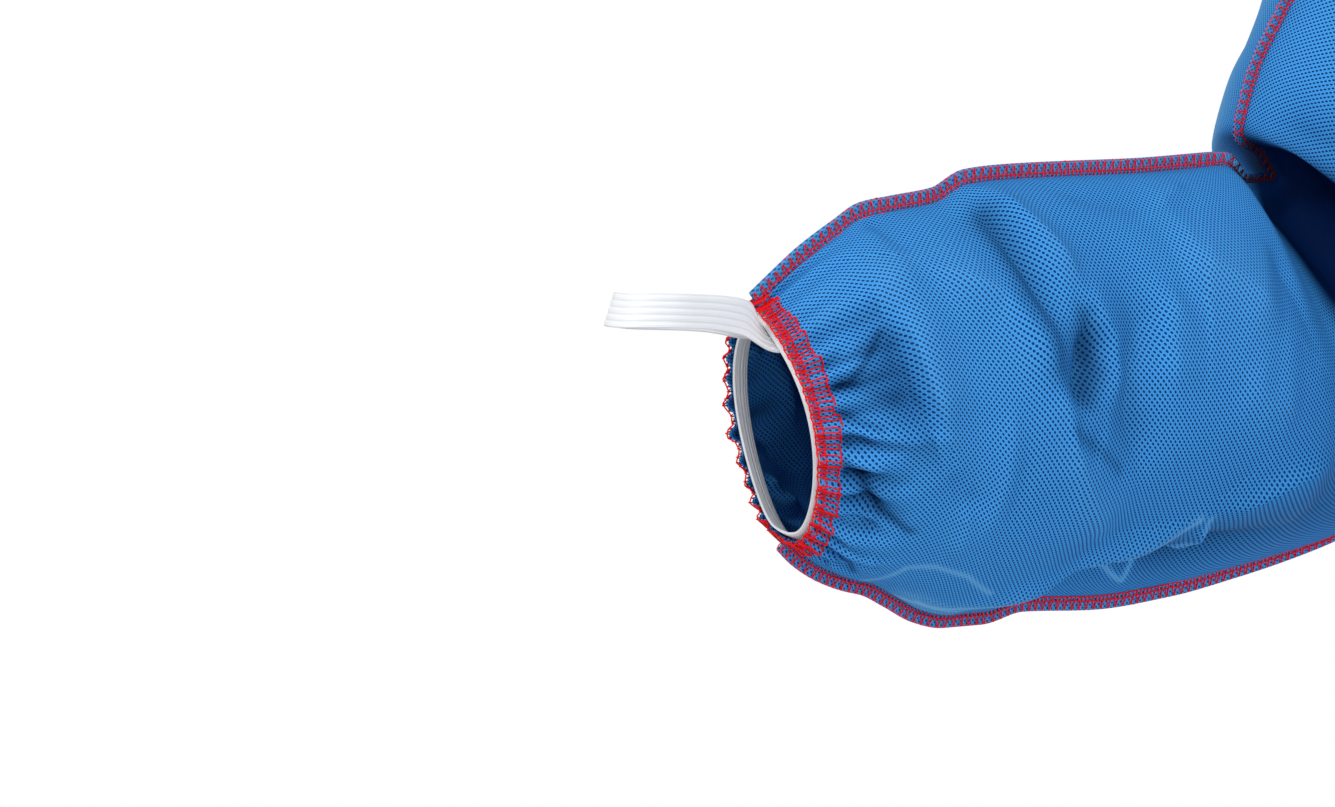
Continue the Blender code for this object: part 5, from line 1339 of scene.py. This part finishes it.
# the seam over the head and then down behind it, in degrees back from straight up
HOOD_OVER = (-50, 50)
HOOD_BEHIND = (50, 130)
HOOD_TALL = 0.33
HOOD_DEEP = 0.26
HOOD_ROWS = 56
HOOD_STRENGTH = 1.6
HOOD_DEEPEST = 0.012
HOOD_GATHERS = 66
HOOD_GATHER_HEIGHT = 0.0013
FACE_HALF = 0.084
FACE_BULGE = 0.008
FLAT_LIP = 0.0001
HOOD_CREASES = (
    (-0.0050, 0.014, 0.018, ((0.05, 0.30), (0.10, 0.42), (0.13, 0.60), (0.14, 0.80))),
    (0.0045, 0.016, 0.014, ((0.09, 0.16), (0.15, 0.32), (0.19, 0.52))),
    (-0.0045, 0.012, 0.014, ((0.16, 0.10), (0.21, 0.24), (0.24, 0.44), (0.24, 0.66))),
    (0.0040, 0.014, 0.012, ((0.22, 0.20), (0.26, 0.40), (0.27, 0.62))),
    (-0.0035, 0.010, 0.012, ((0.28, 0.14), (0.30, 0.34), (0.30, 0.56))),
    (0.0035, 0.012, 0.014, ((0.20, 0.70), (0.24, 0.82), (0.28, 0.90))),
)


def hood_line(turn):
    """A point of the seam over the head, turn radians back from straight up, and the way it faces."""
    deep, middle = HOOD_MIDDLE
    point = np.array([-SEAM_GAP / 2, deep + HOOD_REACH * math.sin(turn), middle + HOOD_RISE * math.cos(turn)])
    return point, unit([0.0, math.sin(turn), math.cos(turn)])


def hood_surface():
    """The right half of the hood from the seam over the head down to the neck, from the face back."""
    front, front_stand = neckline(1.0)
    back, back_stand = neckline(-1.0)
    neck = np.vstack([front, back[-2::-1]])
    stand = np.vstack([front_stand, back_stand[-2::-1]])
    neck = neck + seam_side(neck, stand, (0.0, 0.0, 1.0)) * SEAM_GAP / 2
    neck[-1, 0] = -SEAM_GAP / 2
    over = [hood_line(math.radians(angle)) for angle in np.linspace(*HOOD_OVER, len(neck))]
    down = [hood_line(math.radians(angle)) for angle in np.linspace(*HOOD_BEHIND, HOOD_ROWS + 1)]
    top = np.array([pair[0] for pair in over])
    behind = np.array([pair[0] for pair in down])
    share = np.linspace(0.0, 1.0, HOOD_ROWS + 1)
    behind += (share**2)[:, None] * (neck[-1] - behind[-1])
    face = top[0] * (1 - share[:, None]) + neck[0] * share[:, None]
    face[:, 0] -= FACE_HALF * np.sin(math.pi * share) ** (0.42 + 0.88 * share)
    face[:, 1] -= FACE_BULGE * np.sin(math.pi * share)
    grid = coons(top, neck, face, behind)
    u = np.linspace(0.0, 1.0, len(neck))[None]
    v = share[:, None]
    bulge = (4 * u * (1 - u)) ** 0.55 * (np.sin(math.pi * v) * (1 - v)) ** 0.45 * (1 - v**4)
    grid[:, :, 0] -= HOOD_BULGE * bulge
    over_stand = np.array([pair[1] for pair in over])
    down_stand = np.array([pair[1] for pair in down])
    down_stand[-1] = stand[-1]
    return grid, over_stand, down_stand, stand


hood_grid, over_stand, down_stand, hood_neck_stand = hood_surface()
hood_u = np.linspace(0.0, 1.0, hood_grid.shape[1])
hood_v = np.linspace(0.0, 1.0, HOOD_ROWS + 1)
hood_along, hood_across = np.meshgrid(hood_v * HOOD_TALL, hood_u * HOOD_DEEP, indexing="ij")
hood_height = crease_height(HOOD_CREASES, HOOD_DEEP, hood_along, hood_across, 1.7) * HOOD_STRENGTH
# painted shade in the creases' troughs and painted light on their ridges
hood_painted_shade = np.pad(fold_shade(hood_height, HOOD_DEEPEST, BODY_RIDGE_LIGHT), ((2, 2), (0, 2)), mode="edge")
hood_wave = np.cos(HOOD_GATHERS * math.pi * hood_v + 2 * np.sin(9 * hood_v))[:, None]
hood_gather = HOOD_GATHER_HEIGHT * ease((0.045 - hood_across) / 0.035) * hood_wave
hood_fade = (ease(hood_v / 0.06) * ease((1 - hood_v) / 0.08))[:, None] * ease((1 - hood_u) / 0.06)[None]
# beside the face no trough reaches the elastic
hood_floor = -0.0003 - 0.03 * ease((hood_across - 0.007) / 0.015)
hood_lift = np.maximum((hood_height + hood_gather) * hood_fade, hood_floor)
hood_normal = surface_normals(hood_grid, (-1.0, 0.0, 0.0))
hood_cloth = hood_grid + hood_normal * (hood_lift + BODY_OUT)[..., None]
hood_rows = []
for line, way in zip(hood_cloth, down_stand):
    hood_rows.append(np.vstack([line, line[-1] + way * LIP * 0.5, line[-1] + way * LIP]))
for f in (0.5, 1.0):
    rim = hood_cloth[0] + over_stand * LIP * f
    hood_rows.insert(0, np.vstack([rim] + [rim[-1] + down_stand[0] * FLAT_LIP * k for k in (1, 2)]))
    rim = hood_cloth[-1] + hood_neck_stand * LIP * f
    hood_rows.append(np.vstack([rim] + [rim[-1] + down_stand[-1] * FLAT_LIP * k for k in (1, 2)]))
hood_points = np.array(hood_rows)
hood_uv = np.zeros(hood_points.shape[:2] + (2,))
hood_uv[:, 1:, 0] = np.cumsum(np.linalg.norm(np.diff(hood_points, axis=1), axis=2), axis=1)
hood_uv[1:, :, 1] = np.cumsum(np.linalg.norm(np.diff(hood_points, axis=0), axis=2), axis=0)
for side, sign in SIDES:
    half_hood = hood_points * (sign, 1.0, 1.0)
    outside = np.array([-sign, 0.0, 0.0])
    made = grid_object("cloth_hood_" + side, half_hood, hood_uv, outside, cloth_blue, hood_painted_shade)
    finish_cloth(made, "hood_" + side)


# Seams of the body, the armholes, the neck and the hood: overlocked with the same red thread as the
# sleeves, with the lips outside, so that every seam shows as a red edge.

ROUNDING = 1e-6
ARMHOLE_POINTS = 60
FORWARD = (0.0, -1.0, 0.0)
ACROSS = (1.0, 0.0, 0.0)


def plain_seam(name, root, lip, normal, seed, twice):
    """Thread over one seam, and over its mirror image on the left where it has one."""
    lip, normal = [np.broadcast_to(way, root.shape) for way in (lip, normal)]
    lines = overlock(root, lip, normal, seed, False)
    sew(name + ("_right" if twice else ""), lines, THREAD_RADIUS, 3)
    if twice:
        sew(name + "_left", mirror(lines), THREAD_RADIUS, 3)


front_rows, shoulder_stand = body["front", "right"]
back_rows, _ = body["back", "right"]
front_lines, front_inner = [np.array([row[k] for row in front_rows]) for k in (0, 1)]
back_lines, back_inner = [np.array([row[k] for row in back_rows]) for k in (0, 1)]
hips = next(k for k, line in enumerate(front_lines) if line[0, 2] < HIP_Z - CROTCH_RISE + ROUNDING)
below_zip = next(k for k, line in enumerate(front_lines) if line[0, 2] <= ZIP_END_Z - ROUNDING)
behind_root = back_lines[:hips + 1, 0] * (0.0, 1.0, 1.0)
behind_lip = back_inner[:hips + 1] * (0.0, 1.0, 1.0) - behind_root
plain_seam("thread_back", behind_root, behind_lip, ACROSS, 21, False)
under_root = front_lines[below_zip:hips + 1, 0] * (0.0, 1.0, 1.0)
under_lip = front_inner[below_zip:hips + 1] * (0.0, 1.0, 1.0) - under_root
plain_seam("thread_crotch", under_root, under_lip, ACROSS, 22, False)
inside_root = front_lines[hips:, 0] * (1.0, 0.0, 1.0)
inside_lip = (front_inner[hips:] - front_lines[hips:, 0]) * (1.0, 0.0, 1.0)
plain_seam("thread_inside_leg", inside_root, inside_lip, FORWARD, 23, True)
side_root = (front_lines[ARMHOLE_ROWS:, -1] + back_lines[ARMHOLE_ROWS:, -1]) / 2
plain_seam("thread_side", side_root, (-LIP, 0.0, 0.0), FORWARD, 24, True)
shoulder_root = (front_lines[0, NECK_CELLS:] + back_lines[0, NECK_CELLS:]) / 2
plain_seam("thread_shoulder", shoulder_root, shoulder_stand[NECK_CELLS:] * LIP, FORWARD, 25, True)
for half, face in ((1.0, "front"), (-1.0, "back")):
    hole, stand = armhole(half, ARMHOLE_POINTS)
    plain_seam("thread_armhole_" + face, hole, stand * LIP, seam_side(hole, stand, (1.0, 0.0, 0.0)), 26, True)
    neck, stand = neckline(half)
    plain_seam("thread_neck_" + face, neck, stand * LIP, seam_side(neck, stand, (0.0, 0.0, 1.0)), 27, True)
over_root = np.vstack([hood_grid[0], hood_grid[1:, -1]]) * (0.0, 1.0, 1.0)
over_lip = np.vstack([over_stand, down_stand[1:]]) * LIP
plain_seam("thread_hood", over_root, over_lip, ACROSS, 28, False)


# Elastic: flat white knitted tape in the cuffs, the ankles and the hood's edge, and the two thumb loops.
# Lengthwise ribs of rubber show between fine knitted courses.

ELASTIC_WALL = 0.0008
ELASTIC_WIDTH = 0.007
ELASTIC_TUCK = 0.0004
ELASTIC_INSET = 0.0022
ELASTIC_OVER_ANKLE = 0.0015
LOOP_WALL = 0.0011
LOOP_WIDTH = 0.0114
LOOP_INSET = 0.0041
LOOP_RIBS = 5
LOOP_FROM = 0.125
LOOP_TO = 0.23
LOOP_SEWN = (0.009, 0.005, 0.0)
RIB_STEPS = 6
RIB_HEIGHT = 0.00022
COURSE = 0.0009
TURN = 6.283
KNIT_GREY = (0.74, 0.76, 0.79)
KNIT_WHITE = (0.90, 0.91, 0.93)
# painted shade in the knit's holes and in the channels between the ribs
KNIT_SHADE = (0.46, 0.49, 0.55)
RIB_SHADE = (0.48, 0.52, 0.58)
# along, up, out from the wrist, from the palm's side of the cuff round to the back of the hand
LOOP_ROUTE = (
    (-0.0429, 0.0428, 0.0100),
    (-0.0600, 0.0457, 0.0120),
    (-0.0765, 0.0466, 0.0120),
    (-0.0855, 0.0462, 0.0090),
    (-0.0880, 0.0446, 0.0020),
    (-0.0865, 0.0430, -0.0060),
    (-0.0790, 0.0408, -0.0125),
    (-0.0690, 0.0391, -0.0150),
    (-0.0560, 0.0381, -0.0160),
    (-0.0405, 0.0377, -0.0130),
)
# how far the elastic of the right and of the left cuff stands past the cloth, by the seams and between
CUFFS_PAST = ((0.0030, 0.0009), (0.0015, 0.0010))
# points that the bands go round; the first two are along, up and out from a wrist
CUFF_INSIDE = (-0.02, 0.0, 0.0)
LOOP_INSIDE = (-0.065, 0.043, 0.0)
HOOD_INSIDE = (0.0, 0.02, 0.12)
HOOD_ELASTIC_GAP = 0.0006
HIDDEN_RIBS = 4
RING_CELLS = 24
CUFF_STEPS = 180
LOOP_STEPS = 150
ANKLE_STEPS = 160
FACE_STEPS = 220
FACE_EDGE_OUT = 0.0012
FACE_THREAD_OUT = 0.0012
ANKLE_THREAD_OUT = 0.0008
ANKLE_STITCHES = 84
FACE_STITCHES = 180


def elastic_material():
    made, tree, shader = start_material("knitted_elastic")
    _, across, along = uv_places(tree)
    rib = (across * LOOP_RIBS + 0.5).maths("FRACT") - 0.5
    channel = 1.0 - step(rib.maths("ABSOLUTE"), 0.06, 0.16)
    course = (along / COURSE * TURN).maths("SINE")
    hole = step(course * (across * (TURN * LOOP_RIBS * 2)).maths("SINE"), 0.2, 0.9)
    fluff = grain(object_places(tree), 2600.0, 2.0)
    tone = mix_colour(fluff, KNIT_GREY, KNIT_WHITE)
    # painted shade in the knit's holes and in the channels between the ribs
    knit = mix_colour(hole * 0.35, tone, KNIT_SHADE)
    colour = mix_colour(channel * 0.30, knit, RIB_SHADE)
    plug(shader, {"Base Color": colour, "Roughness": 0.75, "Sheen Weight": 0.2})
    raise_relief(shader, fluff * 0.3 - hole * 0.7 - channel * 0.8, 0.5, 0.0003)
    return made


knitted_elastic = elastic_material()


def elastic_band(name, node, edges, inside, wall, ribs, steps, closed):
    """Ribbed tape through lines of points that run along it, from one edge to the other; inside is about
    the point that it goes round."""
    lines = []
    for edge in edges:
        edge = np.vstack([edge, edge[:1]]) if closed else np.array(edge)
        run = run_along(edge)
        lines.append(np.array([follow(run, edge, place) for place in np.linspace(0.0, run[-1], steps)]))
    lines = np.array(lines).reshape(len(lines), -1)
    across = np.linspace(0.0, 1.0, ribs * RIB_STEPS + 1)
    grid = np.array([follow(np.linspace(0.0, 1.0, len(lines)), lines, u) for u in across])
    grid = grid.reshape(len(across), steps, 3)
    out = unit(np.cross(np.gradient(grid, axis=0), np.gradient(grid, axis=1)))
    out *= np.sign(np.sum(out * (grid - np.array(inside))))
    rib = np.abs(np.cos(math.pi * ribs * across)) ** 0.6
    shape = grid - out * (RIB_HEIGHT * rib)[:, None, None]
    uv = flat_places(across[:, None], run_along(grid[0])[None])
    made = grid_object(name, shape, uv, out[len(across) // 2, steps // 2], knitted_elastic)
    give_wall(made, wall)
    stand_for(made, node)


def cuff_edges(arm, past, sign):
    """The edges of a cuff's elastic: its outer one stands past the cloth, most by the seams."""
    edges = []
    for place in (0.0, ELASTIC_WIDTH / 2, ELASTIC_WIDTH - ELASTIC_TUCK):
        turn = np.linspace(0.0, 1.0, RING_CELLS + 1)
        front = arm.point(place, turn, 1.0, ELASTIC_INSET)
        back = arm.point(place, turn, -1.0, ELASTIC_INSET)
        ring = np.vstack([front, back[-2:0:-1]])
        if place == 0.0:
            wave = np.concatenate([turn, turn[-2:0:-1]])
            reach = past[0] + (past[1] - past[0]) * np.sin(math.pi * wave) ** 0.8
            ring = ring - reach[:, None] * arm.along
        edges.append(ring * (sign, 1.0, 1.0))
    return edges


def loop_edges(arm, sign):
    tilt = unit(0.98 * arm.up + 0.2 * arm.along)
    edges = []
    for side in (0.0, 0.5, 1.0):
        share = np.array([LOOP_FROM + (LOOP_TO - LOOP_FROM) * side])
        start = [arm.point(place, share, 1.0, LOOP_INSET)[0] for place in LOOP_SEWN]
        end = [arm.point(place, share, -1.0, LOOP_INSET)[0] for place in LOOP_SEWN[::-1]]
        free = [arm.world(*stop) + tilt * LOOP_WIDTH * (0.5 - side) for stop in LOOP_ROUTE]
        edges.append(np.array(start + free + end) * (sign, 1.0, 1.0))
    return edges


def ankle_edges(sign):
    """The edges of an ankle's elastic, the lowest a little past the cloth."""
    hem = LEG[-1][0]
    edges = []
    for z in (hem - ELASTIC_OVER_ANKLE, hem + ELASTIC_WIDTH / 2, hem + ELASTIC_WIDTH - ELASTIC_TUCK):
        front = leg_row(max(z, hem), 1.0, ELASTIC_INSET, RING_CELLS)
        back = leg_row(max(z, hem), -1.0, ELASTIC_INSET, RING_CELLS)
        ring = np.vstack([front, back[-2:0:-1]])
        ring[:, 2] = z
        edges.append(ring * (sign, 1.0, 1.0))
    return edges


for (side, sign), arm, past in zip(SIDES, (right_arm, left_arm), CUFFS_PAST):
    elastic_band(
        "elastic_cuff_" + side, "cuff_" + side, cuff_edges(arm, past, sign),
        arm.world(*CUFF_INSIDE) * (sign, 1.0, 1.0), ELASTIC_WALL, HIDDEN_RIBS, CUFF_STEPS, True,
    )
    elastic_band(
        "elastic_loop_" + side, "thumb_loop_" + side, loop_edges(arm, sign),
        arm.world(*LOOP_INSIDE) * (sign, 1.0, 1.0), LOOP_WALL, LOOP_RIBS, LOOP_STEPS, False,
    )
    edges = ankle_edges(sign)
    elastic_band(
        "elastic_ankle_" + side, "ankle_" + side, edges,
        np.mean(edges[1], axis=0), ELASTIC_WALL, HIDDEN_RIBS, ANKLE_STEPS, True,
    )

face_edge = hood_grid[:-1, 0]
face_back = unit(hood_grid[:-1, 1] - face_edge)
face_in = unit(np.cross(np.gradient(face_edge, axis=0), face_back))
face_in *= np.sign(np.einsum("ij,ij->i", face_in, np.array(HOOD_INSIDE) - face_edge))[:, None]
face_in[0] = unit(face_in[0] * (0.0, 1.0, 1.0))
face_lines = []
for run in (-FACE_EDGE_OUT, 0.001 + ELASTIC_WIDTH / 2, ELASTIC_WIDTH):
    right = face_edge + face_back * run + face_in * HOOD_ELASTIC_GAP
    face_lines.append(np.vstack([right[:0:-1] * (-1.0, 1.0, 1.0), right[:1] * (0.0, 1.0, 1.0), right[1:]]))
elastic_band(
    "elastic_hood", "hood_elastic", face_lines, HOOD_INSIDE, ELASTIC_WALL, HIDDEN_RIBS, FACE_STEPS, False,
)


def ankle_finder(sign):
    """Finds points of an ankle's rim: turn 0 at the inside leg, front first."""

    def on_ankle(turn, place, lift):
        turn = turn % 1.0
        half, share = (1.0, turn * 2) if turn < 0.5 else (-1.0, 2 - turn * 2)
        ring = leg_row(LEG[-1][0] + max(place, 0.0), half)
        point = on_line(share, np.linspace(0, 1, len(ring)), ring)
        out = unit((point - ring[[0, -1]].mean(axis=0)) * (1.0, 1.0, 0.0))
        point = point + out * (BODY_OUT + ANKLE_THREAD_OUT + lift) + np.array([0.0, 0.0, min(place, 0.0)])
        return point * (sign, 1.0, 1.0)

    return on_ankle


def on_face(turn, place, lift):
    """A point of the hood's edge: turn 0 at the zip on the right, over the head, 1 at the zip on the left."""
    turn = float(np.clip(turn, 0.0, 1.0))
    share = 1 - abs(1 - 2 * turn)
    k = np.arange(len(face_edge))
    edge, back, into = [on_line((1 - share) * k[-1], k, part) for part in (face_edge, face_back, face_in)]
    sign = 1.0 if turn < 0.5 else -1.0
    return (edge + back * place - into * (BODY_OUT + FACE_THREAD_OUT + lift)) * (sign, 1.0, 1.0)


for side, sign in SIDES:
    sew("thread_ankle_" + side, rim_lines(ankle_finder(sign), ANKLE_STITCHES, 31), PLAIN_RIM_THREAD, 3)
sew("thread_face", rim_lines(on_face, FACE_STITCHES, 32)[:-2], PLAIN_RIM_THREAD, 3)


# Zip: a nylon coil on two woven tapes, sewn under the front edges, with a metal slider and pull. It runs
# from the neck to below the waist, where the tapes meet under its last turns.

ZIP_PITCH = 0.0016
TAPE_WALL = 0.0005
TAPE_GAP = 0.0006
TAPE_INNER = 0.0010
TAPE_OUTER = 0.0165
TAPE_COLUMNS = 14
# points of a front panel's row that lie over a tape
TAPE_UNDER = 12
# rows above the zip's end in which the tapes meet, and rows that they go on below it
TAPES_MEET = 2
TAPE_BELOW = 3
COIL_HALF = 0.0026
COIL_PAST_MIDDLE = 0.0007
COIL_RISE = 0.22 * ZIP_PITCH
COIL_RADIUS = 0.00038
# how deep below the front edges a turn leaves one side, passes the middle and comes back
COIL_DEPTHS = (0.0002, 0.0006, 0.0012)
COIL_FROM = 0.004
COIL_SHORT = 0.001
WEFT = 0.0007
WARP = 0.0009
TAPE_DARK = (0.025, 0.095, 0.300)
TAPE_LIGHT = (0.060, 0.190, 0.480)
COIL_BLUE = (0.050, 0.170, 0.450)
STEEL = (0.46, 0.47, 0.49)


def tape_material():
    made, tree, shader = start_material("zip_tape")
    _, across, along = uv_places(tree)
    weft = (along * (TURN / WEFT)).maths("SINE")
    warp = (across * (TURN / WARP) + weft * 0.4).maths("SINE")
    weave = weft * warp
    colour = mix_colour(weave * 0.5 + 0.5, TAPE_DARK, TAPE_LIGHT)
    plug(shader, {"Base Color": colour, "Roughness": 0.6, "Sheen Weight": 0.2})
    raise_relief(shader, weave, 0.5, 0.0002)
    return made


def solid_material(name, colour, roughness, metallic, scale):
    made, tree, shader = start_material(name)
    wear = grain(object_places(tree), scale, 3.0)
    tone = mix_colour(wear, lighter(colour, 0.85), lighter(colour, 1.12))
    plug(shader, {"Base Color": tone, "Roughness": wear * 0.25 + (roughness - 0.12), "Metallic": metallic})
    return made


zip_tape = tape_material()
coil_nylon = solid_material("coil_nylon", COIL_BLUE, 0.42, 0.0, 900.0)
slider_metal = solid_material("slider_metal", STEEL, 0.30, 1.0, 420.0)
zip_edge = front_lines[:below_zip, 0]
zip_in = unit(np.cross(front_lines[:below_zip, 2] - zip_edge, np.gradient(zip_edge, axis=0)))
zip_in *= np.sign(zip_in[:, 1:2])
tape_rows = []
for k, line in enumerate(front_lines[:below_zip + TAPE_BELOW]):
    line = line[:TAPE_UNDER]
    inner = TAPE_INNER if k < below_zip - TAPES_MEET else SEAM_GAP / 2
    across = np.linspace(inner, TAPE_OUTER, TAPE_COLUMNS)
    row = np.stack([-across] + [np.interp(across, -line[:, 0], line[:, j]) for j in (1, 2)], axis=1)
    tape_rows.append(row + zip_in[min(k, below_zip - 1)] * TAPE_GAP)
tape_rows = np.array(tape_rows)
for side, sign in SIDES:
    half_tape = tape_rows * (sign, 1.0, 1.0)
    made = grid_object("tape_" + side, half_tape, tape_rows[..., [0, 2]], np.array(FORWARD), zip_tape)
    give_wall(made, TAPE_WALL)
    stand_for(made, "zip_tape_" + side)

coil_run = run_along(zip_edge)
coil_lines = []
for k, s in enumerate(np.arange(COIL_FROM, coil_run[-1] - COIL_SHORT, ZIP_PITCH / 2)):
    middle = on_line(s, coil_run, zip_edge) * (0.0, 1.0, 1.0)
    into = on_line(s, coil_run, zip_in)
    side = 1.0 if k % 2 else -1.0
    outer = middle + np.array([side * COIL_HALF, 0.0, 0.0])
    inner = middle - np.array([side * COIL_PAST_MIDDLE, 0.0, 0.0])
    rise = np.array([0.0, 0.0, COIL_RISE])
    near, mid, far = [into * depth for depth in COIL_DEPTHS]
    coil_lines.append(np.array([
        outer - near + rise, inner - mid + rise, inner - far - rise, outer - far - rise, outer - near - rise,
    ]))
coil = sew("zip_coil", coil_lines, COIL_RADIUS, 5)
coil.data.materials.clear()
coil.data.materials.append(coil_nylon)
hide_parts("zip_chain")
for node in ("zip_slider", "zip_pull"):
    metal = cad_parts[node]
    metal.data.materials.clear()
    metal.data.materials.append(slider_metal)
